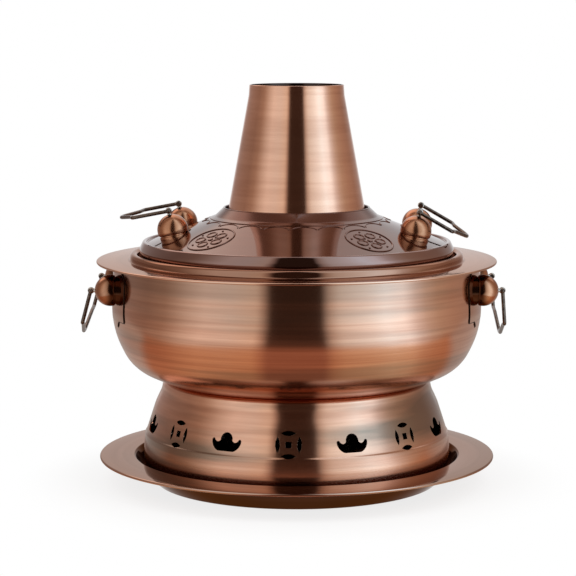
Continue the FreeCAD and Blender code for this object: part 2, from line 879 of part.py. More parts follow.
def place_bail(bail, way, centre, drop):
    """Swing a bail down by its drop, and set it in its eyes on the right or the left."""
    placed = bail.copy()
    placed.rotate(ORIGIN, HINGE_LINE, drop)
    placed.translate(Vector(centre.x, 0, centre.z))
    return placed if way > 0 else placed.mirror(ORIGIN, Vector(1, 0, 0))


# ---------------------------------------------------------------- assembly


def with_screw_holes(sheet, seat):
    """A sheet with the four screw holes of a set of knobs."""
    return solid_of(sheet.cut(list(at_each_corner(screw_hole(seat)).values())))


def add_knobs(parts, prefix, seat, carrier, sheet):
    """Add the four knobs of a set, with their eyes, screws and washers."""
    for name, knob in at_each_corner(make_knob(seat, carrier)).items():
        parts[prefix + "_knob_" + name] = knob
    for name, eye in at_each_corner(make_eye(seat)).items():
        parts[prefix + "_eye_" + name] = eye
    screws = at_each_corner(make_screw(seat)).values()
    washers = at_each_corner(make_washer(seat, sheet)).values()
    parts[prefix + "_knob_screws"] = Part.makeCompound(list(screws))
    parts[prefix + "_knob_washers"] = Part.makeCompound(list(washers))


def make_lid_parts():
    """The lid with everything fixed to it, and its two bails."""
    seat = lid_knob_seat()
    lid = make_lid()
    parts = {"lid": with_screw_holes(lid, seat), "lid_collar": make_collar()}
    add_knobs(parts, "lid", seat, under_lid_surface(), lid)
    bail = make_bail(lid_knob_spread, lid_bail_length)
    for side, way in SIDES:
        parts["lid_bail_" + side] = place_bail(bail, way, eye_centre(seat), lid_bail_angles[side])
    return {name: turned(shape, lid_turn) for name, shape in parts.items()}


def make_bowl_parts():
    """The bowl with its side knobs and shield plates, and its two bails."""
    seat = side_knob_seat()
    bowl = make_bowl()
    parts = {"bowl": with_screw_holes(bowl, seat)}
    for name, plate in at_each_corner(make_plate(seat)).items():
        parts["side_plate_" + name] = plate
    add_knobs(parts, "side", seat, under_plates(), bowl)
    bail = make_bail(side_knob_spread, side_bail_length)
    for side, way in SIDES:
        drop = QUARTER_TURN - side_bail_angles[side]
        parts["side_bail_" + side] = place_bail(bail, way, eye_centre(seat), drop)
    return parts


def main():
    """Build every part and write one STEP file for each."""
    os.makedirs("parts", exist_ok=True)
    parts = {
        "tray": make_tray(),
        "base": make_base(),
        "rim_ring": make_rim_ring(),
        "fire_tube": make_fire_tube(),
        "fire_drum": make_fire_drum(),
        "coal_grate": make_grate(),
        "chimney": make_chimney(),
    }
    parts.update(make_bowl_parts())
    parts.update(make_lid_parts())
    for name, shape in parts.items():
        shape.exportStep("parts/" + name + ".step")
        print(name, len(shape.Solids), shape.isValid(), round(shape.Volume))


main()
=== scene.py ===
import logging
import math
from dataclasses import dataclass, replace
from enum import Enum

import bpy
from mathutils import Matrix, Vector


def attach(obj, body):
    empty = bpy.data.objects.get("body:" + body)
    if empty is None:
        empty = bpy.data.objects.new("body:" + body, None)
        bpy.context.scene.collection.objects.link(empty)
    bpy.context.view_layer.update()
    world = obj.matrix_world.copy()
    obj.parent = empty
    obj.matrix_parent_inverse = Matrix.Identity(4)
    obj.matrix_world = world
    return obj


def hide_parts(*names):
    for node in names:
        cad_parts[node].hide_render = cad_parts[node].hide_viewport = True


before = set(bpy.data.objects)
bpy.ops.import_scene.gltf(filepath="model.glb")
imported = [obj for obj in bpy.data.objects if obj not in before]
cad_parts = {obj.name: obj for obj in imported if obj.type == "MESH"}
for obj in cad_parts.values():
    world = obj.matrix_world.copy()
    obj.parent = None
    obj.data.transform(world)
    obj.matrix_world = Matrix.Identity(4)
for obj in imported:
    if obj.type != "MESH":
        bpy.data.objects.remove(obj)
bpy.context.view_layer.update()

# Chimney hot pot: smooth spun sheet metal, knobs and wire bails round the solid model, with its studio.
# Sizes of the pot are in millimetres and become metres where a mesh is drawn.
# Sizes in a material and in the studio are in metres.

logging.basicConfig(level=logging.INFO, format="%(message)s")
LOG = logging.getLogger("hot_pot")

Piece = bpy.types.Object
Socket = bpy.types.NodeSocket
Colour = tuple[float, float, float]
Span = tuple[float, float]
# A section as radius and height, or an outline as distance across and height.
Run = list[tuple[float, float]]

MM = 0.001
TURN = 2 * math.pi
AROUND = 192
MERGE = 0.01 * MM
# An edge stays sharp past the first angle and is bevelled past the second.
SHARP = math.radians(32)
BEVELLED = math.radians(40)
BEVEL_SEGMENTS = 2
WIRE_STEPS = 4
# Degrees between the points of an arc, in a rounding wider than WIDE and in any other.
WIDE = 10.0
WIDE_STEP, TIGHT_STEP = 3, 12
LEAST_STEPS = 3
# The arc of a rolled edge, in degrees, and its number of steps.
ROLL = (180, 450, 16)
BLACK, WHITE = (0, 0, 0), (1, 1, 1)
# Where a Mix node has its factor, its two colours and its mixed colour.
MIX_INPUTS, MIX_RESULT = (0, 6, 7), 2


class Body(Enum):
    """The rigid bodies that the new pieces ride on."""

    TRAY = "tray"
    POT = "pot"
    CHIMNEY = "chimney"
    LID = "lid"
    LID_BAIL_RIGHT = "lid_bail_right"
    LID_BAIL_LEFT = "lid_bail_left"
    SIDE_BAIL_RIGHT = "side_bail_right"
    SIDE_BAIL_LEFT = "side_bail_left"


class Way(Enum):
    """The two sides of the pot and the way each one lies along X."""

    RIGHT = 1
    LEFT = -1


class End(Enum):
    """The two ends of a bail and the way each one lies along Y."""

    FRONT = -1
    REAR = 1


# ---------------------------------------------------------------- sections


@dataclass(frozen=True)
class Corner:
    """A corner of a sheet's section."""

    radius: float
    height: float
    rounding: float = 0.0


def arc(centre: Span, radius: float, start: float, end: float, steps: int) -> Run:
    """Points along an arc.

    Args:
        centre: Middle of the arc.
        radius: Radius of the arc.
        start: First angle, in degrees.
        end: Last angle, in degrees.
        steps: Number of steps from the first point to the last.

    Returns:
        The points, ends included.
    """
    points = []
    for step in range(steps + 1):
        angle = math.radians(start + (end - start) * step / steps)
        points.append((centre[0] + radius * math.cos(angle), centre[1] + radius * math.sin(angle)))
    return points


def rounded(corners: list[Corner]) -> Run:
    """Draws a run of corners with each rounding as an arc.

    Args:
        corners: The corners, in order.

    Returns:
        The points of the run.
    """
    first, last = corners[0], corners[-1]
    run = [(first.radius, first.height)]
    for before, corner, after in zip(corners, corners[1:], corners[2:]):
        here = Vector((corner.radius, corner.height))
        back = (Vector((before.radius, before.height)) - here).normalized()
        ahead = (Vector((after.radius, after.height)) - here).normalized()
        half = back.angle(ahead) / 2
        if corner.rounding <= 0:
            run.append(tuple(here))
            continue
        middle = here + (back + ahead).normalized() * (corner.rounding / math.sin(half))
        start = here + back * (corner.rounding / math.tan(half)) - middle
        sweep = math.pi - 2 * half
        turn = math.copysign(sweep, -(back.x * ahead.y - back.y * ahead.x))
        apart = WIDE_STEP if corner.rounding > WIDE else TIGHT_STEP
        steps = max(LEAST_STEPS, math.ceil(math.degrees(sweep) / apart))
        for step in range(steps + 1):
            spoke = Matrix.Rotation(turn * step / steps, 2) @ start
            run.append(tuple(middle + spoke))
    run.append((last.radius, last.height))
    return run


def offset(corners: list[Corner], distance: float) -> list[Corner]:
    """The same run of corners, moved to the left of its direction.

    Args:
        corners: The corners, in order.
        distance: How far to move them.

    Returns:
        The moved corners, with their roundings grown or shrunk to match.
    """
    ways = []
    for here, there in zip(corners, corners[1:]):
        ways.append(Vector((there.radius - here.radius, there.height - here.height)).normalized())
    moved = []
    for index, corner in enumerate(corners):
        before = ways[max(index - 1, 0)]
        after = ways[min(index, len(ways) - 1)]
        scale = distance / (1 + before.dot(after))
        turn = before.x * after.y - before.y * after.x
        rounding = corner.rounding - distance * math.copysign(1, turn) if corner.rounding > 0 else 0
        radius = corner.radius - (before.y + after.y) * scale
        height = corner.height + (before.x + after.x) * scale
        moved.append(Corner(radius, height, max(rounding, 0)))
    return moved


def sheet(corners: list[Corner], thickness: float) -> Run:
    """The closed section of a sheet whose corners lie on one face and its thickness to their left."""
    return rounded(corners) + rounded(offset(corners, thickness))[::-1]


def both_sides(half: Run, shared: int) -> Run:
    """A symmetrical outline from its right half.

    Args:
        half: The right half, from its first point on the middle line.
        shared: How many points at the far end lie on the middle line too.

    Returns:
        The whole outline.
    """
    return half + [(-across, height) for across, height in reversed(half[1:len(half) - shared])]


# ---------------------------------------------------------------- bench


class Bench:
    """Mesh work by hand: drawing a run, spinning it, cutting it, copying it and placing it."""

    @staticmethod
    def take(piece: Piece) -> None:
        """Selects one piece and makes it the active one.

        Args:
            piece: The piece.
        """
        bpy.ops.object.select_all(action="DESELECT")
        piece.select_set(True)
        bpy.context.view_layer.objects.active = piece

    @staticmethod
    def named(name: str) -> Piece:
        """Names the piece that was just added.

        Args:
            name: The name of the piece and of its mesh.

        Returns:
            The piece.
        """
        piece = bpy.context.object
        piece.name = name
        piece.data.name = name
        return piece

    @staticmethod
    def drop(*pieces: Piece) -> None:
        """Throws away models and tools that are no longer needed."""
        for piece in pieces:
            bpy.data.objects.remove(piece)

    @staticmethod
    def draw(name: str, points: list[Vector]) -> Piece:
        """Draws a run of edges by extruding one vertex from point to point.

        Args:
            name: Name of the new piece.
            points: The points, in millimetres.

        Returns:
            The piece, still a wire.
        """
        bpy.ops.object.select_all(action="DESELECT")
        bpy.ops.mesh.primitive_plane_add(size=MM, location=(0, 0, 0))
        piece = Bench.named(name)
        bpy.ops.object.mode_set(mode="EDIT")
        bpy.ops.mesh.select_all(action="SELECT")
        bpy.ops.mesh.merge(type="CENTER")
        bpy.ops.transform.translate(value=points[0] * MM)
        for here, there in zip(points, points[1:]):
            bpy.ops.mesh.extrude_region_move(TRANSFORM_OT_translate={"value": (there - here) * MM})
        bpy.ops.mesh.select_all(action="SELECT")
        bpy.ops.mesh.remove_doubles(threshold=MERGE)
        bpy.ops.object.mode_set(mode="OBJECT")
        return piece

    @staticmethod
    def close(piece: Piece) -> None:
        """Merges the doubles of a closed shape, points its faces outwards and shades it.

        Args:
            piece: The piece.
        """
        Bench.take(piece)
        bpy.ops.object.mode_set(mode="EDIT")
        bpy.ops.mesh.select_all(action="SELECT")
        bpy.ops.mesh.remove_doubles(threshold=MERGE)
        bpy.ops.mesh.normals_make_consistent(inside=False)
        bpy.ops.object.mode_set(mode="OBJECT")
        bpy.ops.object.shade_smooth_by_angle(angle=SHARP)

    @staticmethod
    def spun(name: str, run: Run, around: int = AROUND, on_axis: bool = False) -> Piece:
        """Spins a section round Z.

        Args:
            name: Name of the new piece.
            run: The section, as radius and height.
            around: Number of steps round the axis.
            on_axis: Whether the section starts and ends on the axis.

        Returns:
            The closed piece.
        """
        points = [Vector((radius, 0, height)) for radius, height in run]
        piece = Bench.draw(name, points if on_axis else points + points[:1])
        bpy.ops.object.mode_set(mode="EDIT")
        bpy.ops.mesh.select_all(action="SELECT")
        bpy.ops.mesh.spin(steps=around, angle=TURN, center=(0, 0, 0), axis=(0, 0, 1))
        bpy.ops.object.mode_set(mode="OBJECT")
        Bench.close(piece)
        return piece

    @staticmethod
    def prism(name: str, outline: list[Vector], way: Vector) -> Piece:
        """Fills a closed outline and extrudes it.

        Args:
            name: Name of the new piece.
            outline: The outline, in millimetres.
            way: Direction and length of the extrusion, in millimetres.

        Returns:
            The closed piece.
        """
        piece = Bench.draw(name, outline + outline[:1])
        bpy.ops.object.mode_set(mode="EDIT")
        bpy.ops.mesh.select_all(action="SELECT")
        bpy.ops.mesh.edge_face_add()
        bpy.ops.mesh.extrude_region_move(TRANSFORM_OT_translate={"value": way * MM})
        bpy.ops.object.mode_set(mode="OBJECT")
        Bench.close(piece)
        return piece

    @staticmethod
    def place(piece: Piece, matrix: Matrix) -> Piece:
        """Moves a piece and applies the move to its mesh.

        Args:
            piece: The piece.
            matrix: Where it goes, in metres.

        Returns:
            The same piece, its object at the origin.
        """
        Bench.take(piece)
        piece.matrix_world = matrix @ piece.matrix_world
        bpy.ops.object.transform_apply(location=True, rotation=True, scale=True)
        return piece

    @staticmethod
    def copy(piece: Piece, name: str, matrix: Matrix) -> Piece:
        """Copies a piece with its own mesh and places the copy, its faces pointing outwards.

        Args:
            piece: The piece that is copied.
            name: Name of the copy.
            matrix: Where the copy goes, in metres.

        Returns:
            The copy.
        """
        Bench.take(piece)
        bpy.ops.object.duplicate()
        image = Bench.place(Bench.named(name), matrix)
        if matrix.determinant() < 0:
            Bench.close(image)
        return image

    @staticmethod
    def cut(piece: Piece, tool: Piece, operation: str = "DIFFERENCE") -> None:
        """Applies a boolean with a tool and throws the tool away.

        Args:
            piece: The piece that is cut.
            tool: The shape that cuts it.
            operation: DIFFERENCE, INTERSECT or UNION.
        """
        Bench.take(piece)
        cutter = piece.modifiers.new("cut", "BOOLEAN")
        cutter.object = tool
        cutter.operation = operation
        cutter.solver = "EXACT"
        bpy.ops.object.modifier_apply(modifier="cut")
        Bench.drop(tool)
        Bench.close(piece)

    @staticmethod
    def joined(name: str, pieces: list[Piece]) -> Piece:
        """Joins several pieces into one.

        Args:
            name: Name of the joined piece.
            pieces: The pieces.

        Returns:
            The joined piece.
        """
        bpy.ops.object.select_all(action="DESELECT")
        for piece in pieces:
            piece.select_set(True)
        bpy.context.view_layer.objects.active = pieces[0]
        bpy.ops.object.join()
        return Bench.named(name)

    @staticmethod
    def soften(piece: Piece, width: float) -> None:
        """Bevels the sharp edges of a piece.

        Args:
            piece: The piece.
            width: Width of the bevel, in millimetres.
        """
        Bench.take(piece)
        bevel = piece.modifiers.new("soften", "BEVEL")
        bevel.width = width * MM
        bevel.segments = BEVEL_SEGMENTS
        bevel.limit_method = "ANGLE"
        bevel.angle_limit = BEVELLED
        bpy.ops.object.modifier_apply(modifier="soften")
        bpy.ops.object.shade_smooth_by_angle(angle=SHARP)

    @staticmethod
    def wire(name: str, points: list[Vector], radius: float) -> Piece:
        """A round wire along a run of points, with closed ends.

        Args:
            name: Name of the new piece.
            points: The run, in millimetres.
            radius: Radius of the wire, in millimetres.

        Returns:
            The wire as a mesh.
        """
        Bench.take(Bench.draw(name, points))
        bpy.ops.object.convert(target="CURVE")
        line = bpy.context.object.data
        line.bevel_depth = radius * MM
        line.bevel_resolution = WIRE_STEPS
        line.use_fill_caps = True
        bpy.ops.object.convert(target="MESH")
        piece = Bench.named(name)
        Bench.close(piece)
        return piece


def mirror(way: Way, end: End) -> Matrix:
    """The mirror that takes the right rear corner to another corner."""
    return Matrix.Diagonal((way.value, end.value, 1, 1))


def corners_of_pot() -> list[tuple[str, Matrix]]:
    """The name of each corner and the mirror that takes the right rear corner there."""
    return [(way.name.lower() + "_" + end.name.lower(), mirror(way, end)) for way in Way for end in End]


# ---------------------------------------------------------------- finishes


class Nodes:
    """A short way to wire up the nodes of a material or of the world."""

    def __init__(self, owner: bpy.types.Material | bpy.types.World) -> None:
        """Turns on the owner's nodes.

        Args:
            owner: The material or the world.
        """
        self.owner = owner
        owner.use_nodes = True
        self.tree = owner.node_tree
        self.shader = self.tree.nodes.get("Principled BSDF")

    @staticmethod
    def material(name: str) -> "Nodes":
        """Starts a new material with a Principled shader."""
        return Nodes(bpy.data.materials.new(name))

    def add(self, kind: str, **values: object) -> bpy.types.Node:
        """Adds a node and sets its properties.

        Args:
            kind: The node's type, without its prefix.
            values: The properties.

        Returns:
            The node.
        """
        node = self.tree.nodes.new("ShaderNode" + kind)
        for key, value in values.items():
            setattr(node, key, value)
        return node

    def put(self, socket: Socket, value: object) -> None:
        """Links a socket to another one, or sets it to a number, a vector or a colour.

        Args:
            socket: The input.
            value: What it gets.
        """
        if isinstance(value, Socket):
            self.tree.links.new(value, socket)
        elif socket.type == "RGBA":
            socket.default_value = (*value, 1)
        else:
            socket.default_value = value

    def shade(self, **values: object) -> None:
        """Puts values on the shader's inputs, named in small letters with underscores."""
        for name, value in values.items():
            self.put(self.shader.inputs[name.replace("_", " ").title()], value)

    def surface(self, shader: Socket) -> None:
        """Shows a shader as the material's surface."""
        self.put(self.tree.nodes["Material Output"].inputs["Surface"], shader)

    def math(self, operation: str, first: object, second: object = 0.0) -> Socket:
        """A Math node.

        Args:
            operation: What it does.
            first: A socket or a number.
            second: A socket or a number.

        Returns:
            Its result.
        """
        node = self.add("Math", operation=operation)
        self.put(node.inputs[0], first)
        self.put(node.inputs[1], second)
        return node.outputs[0]

    def vector(self, operation: str, first: object, second: object = (0, 0, 0)) -> bpy.types.Node:
        """A Vector Math node.

        Args:
            operation: What it does.
            first: A socket or a vector.
            second: A socket or a vector.

        Returns:
            The node.
        """
        node = self.add("VectorMath", operation=operation)
        self.put(node.inputs[0], first)
        self.put(node.inputs[1], second)
        return node

    def place(self) -> Socket:
        """The Object coordinates."""
        return self.add("TexCoord").outputs["Object"]

    def split(self, vector: Socket) -> tuple[Socket, ...]:
        """The X, Y and Z of a vector.

        Args:
            vector: The vector.

        Returns:
            Its three parts.
        """
        node = self.add("SeparateXYZ")
        self.put(node.inputs[0], vector)
        return tuple(node.outputs)

    def reach(self, across: Socket, along: Socket) -> Socket:
        """The distance from the pot's axis.

        Args:
            across: X.
            along: Y.

        Returns:
            The distance.
        """
        squares = self.math("ADD", self.math("MULTIPLY", across, across), self.math("MULTIPLY", along, along))
        return self.math("SQRT", squares)

    def noise(self, vector: Socket, scale: float, detail: float) -> Socket:
        """A noise pattern.

        Args:
            vector: Where it is read.
            scale: How fine it is.
            detail: How many finer layers it has.

        Returns:
            The noise, from 0 to 1.
        """
        node = self.add("TexNoise")
        self.put(node.inputs["Scale"], scale)
        self.put(node.inputs["Detail"], detail)
        self.put(node.inputs["Vector"], vector)
        return node.outputs["Fac"]

    def ramp(self, factor: Socket, stops: list[tuple[float, Colour]]) -> Socket:
        """A colour ramp.

        Args:
            factor: Where on the ramp.
            stops: Each stop's position and colour.

        Returns:
            The colour.
        """
        node = self.add("ValToRGB")
        elements = node.color_ramp.elements
        while len(elements) < len(stops):
            elements.new(0.5)
        for element, (position, colour) in zip(elements, stops):
            element.position = position
            element.color = (*colour, 1)
        self.put(node.inputs[0], factor)
        return node.outputs[0]

    def contrast(self, factor: Socket, step: Span) -> Socket:
        """A ramp from black to white between the two ends of a step."""
        return self.ramp(factor, [(step[0], BLACK), (step[1], WHITE)])

    def spread(self, factor: Socket, low: float, high: float) -> Socket:
        """Maps 0 to 1 onto a range.

        Args:
            factor: What is mapped.
            low: What 0 becomes.
            high: What 1 becomes.

        Returns:
            The mapped value.
        """
        node = self.add("MapRange")
        self.put(node.inputs["To Min"], low)
        self.put(node.inputs["To Max"], high)
        self.put(node.inputs["Value"], factor)
        return node.outputs["Result"]

    def rise(self, factor: Socket, step: Span) -> Socket:
        """A smooth step from 0 to 1.

        Args:
            factor: What is measured.
            step: Where the step starts and ends.

        Returns:
            The step.
        """
        node = self.add("MapRange", interpolation_type="SMOOTHSTEP")
        self.put(node.inputs["From Min"], step[0])
        self.put(node.inputs["From Max"], step[1])
        self.put(node.inputs["Value"], factor)
        return node.outputs["Result"]

    def mix(self, factor: object, first: object, second: object, blend: str = "MIX") -> Socket:
        """A colour mix.

        Args:
            factor: How much of the second, as a socket or a number.
            first: A socket or a colour.
            second: A socket or a colour.
            blend: How the two are mixed.

        Returns:
            The mixed colour.
        """
        node = self.add("Mix", data_type="RGBA", blend_type=blend)
        for index, value in zip(MIX_INPUTS, (factor, first, second)):
            self.put(node.inputs[index], value)
        return node.outputs[MIX_RESULT]

    def bump(self, height: Socket, strength: float, depth: float) -> Socket:
        """A bumped normal.

        Args:
            height: The pattern.
            strength: How much of it shows.
            depth: Its height, in metres.

        Returns:
            The normal.
        """
        node = self.add("Bump")
        self.put(node.inputs["Strength"], strength)
        self.put(node.inputs["Distance"], depth)
        self.put(node.inputs["Height"], height)
        return node.outputs[0]


@dataclass(frozen=True)
class Rings:
    """Noise in rings round the axis."""

    pitch: float
    turns: float
    detail: float

    def make(self, nodes: Nodes, way: tuple[Socket, Socket], ring: Socket) -> Socket:
        """Builds the noise, stretched round the axis and fine along the section.

        Args:
            nodes: The material's nodes.
            way: X and Y of the direction from the axis.
            ring: The distance along the section.

        Returns:
            The noise, from 0 to 1.
        """
        vector = nodes.add("CombineXYZ")
        for index, part in enumerate(way):
            nodes.put(vector.inputs[index], nodes.math("MULTIPLY", part, self.turns))
        nodes.put(vector.inputs[2], nodes.math("MULTIPLY", ring, self.pitch))
        return nodes.noise(vector.outputs[0], 1.0, self.detail)


@dataclass(frozen=True)
class SpunCopper:
    """Copper plating on spun sheet, brushed or polished round the pot's axis.

    The finish may change at a radius, its edge, over a fade on both sides of it, and may be darker inside it
    as painted shade. Faces whose normal is turned away from the outside by more than the start of turned
    may be darkened as painted shade too.
    """

    name: str
    bright: Colour = (0.78, 0.44, 0.31)
    dark: Colour = (0.52, 0.25, 0.165)
    patina: Colour = (0.30, 0.215, 0.17)
    roughness: Span = (0.12, 0.2)
    anisotropy: float = 0.8
    streaks: float = 0.6
    bands: float = 0.6
    bump: float = 0.2
    coat: float = 0.0
    rim: Colour = WHITE
    # Painted shade: its colour on faces turned away from the outside, and the range of turn where it fades
    # in.
    painted_shade: Colour | None = None
    turned: Span = (0.1, 0.3)
    metallic: float = 1.0
    edge: float | None = None
    fade: float = 0.0005
    # Multipliers inside and beyond the edge; the one inside, with the lower specular tint below, is painted
    # shade.
    shade_within: Colour | None = None
    beyond: Colour | None = None
    inner_rim: Colour | None = None
    inner_metallic: float | None = None
    brush_rings: Rings = Rings(1300.0, 0.8, 3.0)
    streak_rings: Rings = Rings(230.0, 0.6, 4.0)
    band_rings: Rings = Rings(46.0, 0.45, 4.0)
    streak_step: Span = (0.40, 0.64)
    band_step: Span = (0.44, 0.62)
    bump_depth: float = 0.00006
    coat_roughness: float = 0.03
    across_brushing: float = 0.25

    def make(self) -> bpy.types.Material:
        """Builds the material: rings of brushing, darker streaks and bands of patina.

        Returns:
            The material.
        """
        nodes = Nodes.material(self.name)
        place = nodes.place()
        across, along, height = nodes.split(place)
        radius = nodes.math("MAXIMUM", nodes.reach(across, along), MM)
        ring = nodes.math("ADD", height, radius)
        way = (nodes.math("DIVIDE", across, radius), nodes.math("DIVIDE", along, radius))
        fine = self.brush_rings.make(nodes, way, ring)
        streak = self.streak_rings.make(nodes, way, ring)
        band = self.band_rings.make(nodes, way, ring)
        streaked = nodes.math("MULTIPLY", nodes.contrast(streak, self.streak_step), self.streaks)
        banded = nodes.math("MULTIPLY", nodes.contrast(band, self.band_step), self.bands)
        colour = nodes.mix(banded, nodes.mix(streaked, self.bright, self.dark), self.patina)
        nodes.shade(
            metallic=self.metallic, specular_tint=self.rim, coat_weight=self.coat,
            coat_roughness=self.coat_roughness, anisotropic=self.anisotropy,
            anisotropic_rotation=self.across_brushing,
        )
        # Painted shade inside the edge, where it is given.
        if self.edge:
            colour = self.change(nodes, radius, colour)
        # Painted shade on faces turned away from the outside.
        if self.painted_shade:
            colour = nodes.mix(self.away(nodes, place, radius), colour, self.painted_shade)
        mixed = nodes.math("ADD", nodes.math("MULTIPLY", fine, 0.5), nodes.math("MULTIPLY", streak, 0.5))
        round_axis = nodes.vector("CROSS_PRODUCT", (0, 0, 1), place).outputs[0]
        nodes.shade(
            base_color=colour, roughness=nodes.spread(mixed, *self.roughness),
            normal=nodes.bump(fine, self.bump, self.bump_depth),
            tangent=nodes.vector("NORMALIZE", round_axis).outputs[0],
        )
        return nodes.owner

    def change(self, nodes: Nodes, radius: Socket, colour: Socket) -> Socket:
        """Changes the finish at the edge: darker inside it as painted shade, and another colour beyond it
        where given.

        Args:
            nodes: The material's nodes.
            radius: The distance from the axis.
            colour: The colour so far.

        Returns:
            The colour with its change.
        """
        step = nodes.rise(radius, (self.edge - self.fade, self.edge + self.fade))
        # Inside the edge the colour is multiplied darker, and the specular tint lowered, as painted shade.
        inner = nodes.mix(1.0, colour, self.shade_within, "MULTIPLY") if self.shade_within else colour
        outer = nodes.mix(1.0, colour, self.beyond, "MULTIPLY") if self.beyond else colour
        if self.inner_rim:
            nodes.shade(specular_tint=nodes.mix(step, self.inner_rim, self.rim))
        if self.inner_metallic:
            nodes.shade(metallic=nodes.spread(step, self.inner_metallic, self.metallic))
        return nodes.mix(step, inner, outer)

    def away(self, nodes: Nodes, place: Socket, radius: Socket) -> Socket:
        """Finds the faces that are turned away from the outside, which get painted shade.

        Args:
            nodes: The material's nodes.
            place: The Object coordinates.
            radius: The distance from the axis.

        Returns:
            1 on those faces and 0 on the others.
        """
        inwards = nodes.vector("MULTIPLY", place, (-1, -1, 0)).outputs[0]
        facing = nodes.vector("DOT_PRODUCT", inwards, nodes.add("TexCoord").outputs["Normal"])
        return nodes.rise(nodes.math("DIVIDE", facing.outputs["Value"], radius), self.turned)


@dataclass(frozen=True)
class CastMetal:
    """Small cast, turned or drawn metal, or rubber, with soft stains and fine grain."""

    name: str
    bright: Colour
    dark: Colour
    roughness: Span
    grain: float = 900.0
    stain: float = 120.0
    bump: float = 0.15
    metallic: float = 1.0
    stain_step: Span = (0.35, 0.7)
    stain_detail: float = 4.0
    grain_detail: float = 3.0
    bump_depth: float = 0.0001

    def make(self) -> bpy.types.Material:
        """Builds the material.

        Returns:
            The material.
        """
        nodes = Nodes.material(self.name)
        place = nodes.place()
        stain = nodes.noise(place, self.stain, self.stain_detail)
        grain = nodes.noise(place, self.grain, self.grain_detail)
        nodes.shade(
            base_color=nodes.mix(nodes.contrast(stain, self.stain_step), self.bright, self.dark),
            roughness=nodes.spread(grain, *self.roughness),
            normal=nodes.bump(grain, self.bump, self.bump_depth),
            metallic=self.metallic,
        )
        return nodes.owner


class Finishes:
    """Every finish of the pot."""

    def __init__(self) -> None:
        """Builds the materials once."""
        # Painted shade on the inner faces of the base and of the chimney.
        painted_shade = (0.05, 0.035, 0.03)
        polished = SpunCopper(
            "polished_copper", roughness=(0.05, 0.11), anisotropy=0.4, streaks=0.3, bands=0.3, bump=0.05,
        )
        # The bowl is painted darker inside the edge, as shade on its lower part over the base.
        self.brushed = SpunCopper("brushed_copper", edge=0.139, fade=0.006, shade_within=(0.66, 0.50, 0.41)).make()
        self.base = SpunCopper("base_copper", patina=(0.24, 0.175, 0.135), bands=0.9, painted_shade=painted_shade).make()
        self.chimney = SpunCopper("chimney_copper", bands=0.12, streaks=0.35, painted_shade=painted_shade).make()
        # The plate's side faces are painted dark, as a contact shadow round its edge.
        self.plate = SpunCopper(
            "plate_copper", bright=(0.66, 0.40, 0.29), dark=(0.5, 0.27, 0.19), roughness=(0.1, 0.16),
            anisotropy=0.6, bands=0.4, bump=0.1, painted_shade=(0.05, 0.025, 0.018), turned=(-0.8, -0.5),
        ).make()
        # The raised ring and the ledge inside the edge are painted darker, as shade round the lid's bead.
        self.rim = replace(
            polished, name="rim_copper", bright=(0.72, 0.46, 0.35), dark=(0.56, 0.33, 0.24),
            rim=(0.80, 0.68, 0.62), edge=0.1452, shade_within=(0.62, 0.50, 0.45),
        ).make()
        # Inside the edge, round the recess beside the base, the tray is painted dark with a lower tint, as
        # shade.
        self.tray = replace(
            polished, name="tray_copper", bright=(0.54, 0.36, 0.29), dark=(0.43, 0.27, 0.21), bands=0.35,
            rim=(0.72, 0.64, 0.60), edge=0.1412, shade_within=(0.13, 0.07, 0.045), inner_rim=(0.60, 0.50, 0.46),
        ).make()
        lid = SpunCopper(
            "lid_copper", bright=(0.125, 0.037, 0.019), dark=(0.095, 0.028, 0.014),
            patina=(0.08, 0.035, 0.022), roughness=(0.04, 0.08), anisotropy=0.3, streaks=0.3, bands=0.2,
            bump=0.03, edge=0.1289, beyond=(2.4, 4.4, 7.0), inner_metallic=0.8, coat=0.4,
        )
        self.lid = lid.make()
        self.collar = replace(lid, name="collar_copper", roughness=(0.12, 0.2)).make()
        self.drum = SpunCopper(
            "drum_copper", bright=(0.60, 0.50, 0.43), dark=(0.42, 0.33, 0.27), roughness=(0.1, 0.18),
            bands=0.3,
        ).make()
        knob_bright, knob_dark = (0.50, 0.23, 0.13), (0.36, 0.155, 0.085)
        # The side knobs' feet, inside the edge near the bowl, are painted dark with a lower tint, as shade.
        self.side_knob = SpunCopper(
            "side_knob_copper", bright=knob_bright, dark=knob_dark, roughness=(0.14, 0.2), anisotropy=0.0,
            streaks=0.5, bands=0.2, bump=0.03, edge=0.1700, fade=0.003, shade_within=(0.16, 0.13, 0.12),
            inner_rim=(0.5, 0.4, 0.35),
        ).make()
        self.knob = CastMetal(
            "knob_copper", knob_bright, knob_dark, (0.19, 0.24), grain=2600.0, bump=0.03,
        ).make()
        # Dark layer round each shield plate, a painted shadow.
        self.seam = CastMetal("seam_shadow", (0.06, 0.03, 0.02), (0.03, 0.016, 0.011), (0.3, 0.5)).make()
        self.bail = CastMetal(
            "bail_bronze", (0.17, 0.125, 0.10), (0.07, 0.05, 0.042), (0.14, 0.3), grain=1500.0, stain=300.0,
            bump=0.2,
        ).make()
        self.eye = CastMetal(
            "eye_metal", (0.66, 0.60, 0.55), (0.40, 0.34, 0.30), (0.18, 0.34), stain=400.0,
        ).make()
        self.screw = CastMetal("screw_steel", (0.62, 0.62, 0.63), (0.46, 0.46, 0.48), (0.25, 0.4)).make()
        self.iron = CastMetal(
            "grate_iron", (0.055, 0.053, 0.052), (0.028, 0.026, 0.025), (0.55, 0.8), grain=500.0, bump=0.8,
        ).make()
        self.rubber = CastMetal(
            "washer_rubber", (0.5, 0.46, 0.42), (0.42, 0.38, 0.35), (0.5, 0.65), metallic=0.0,
        ).make()


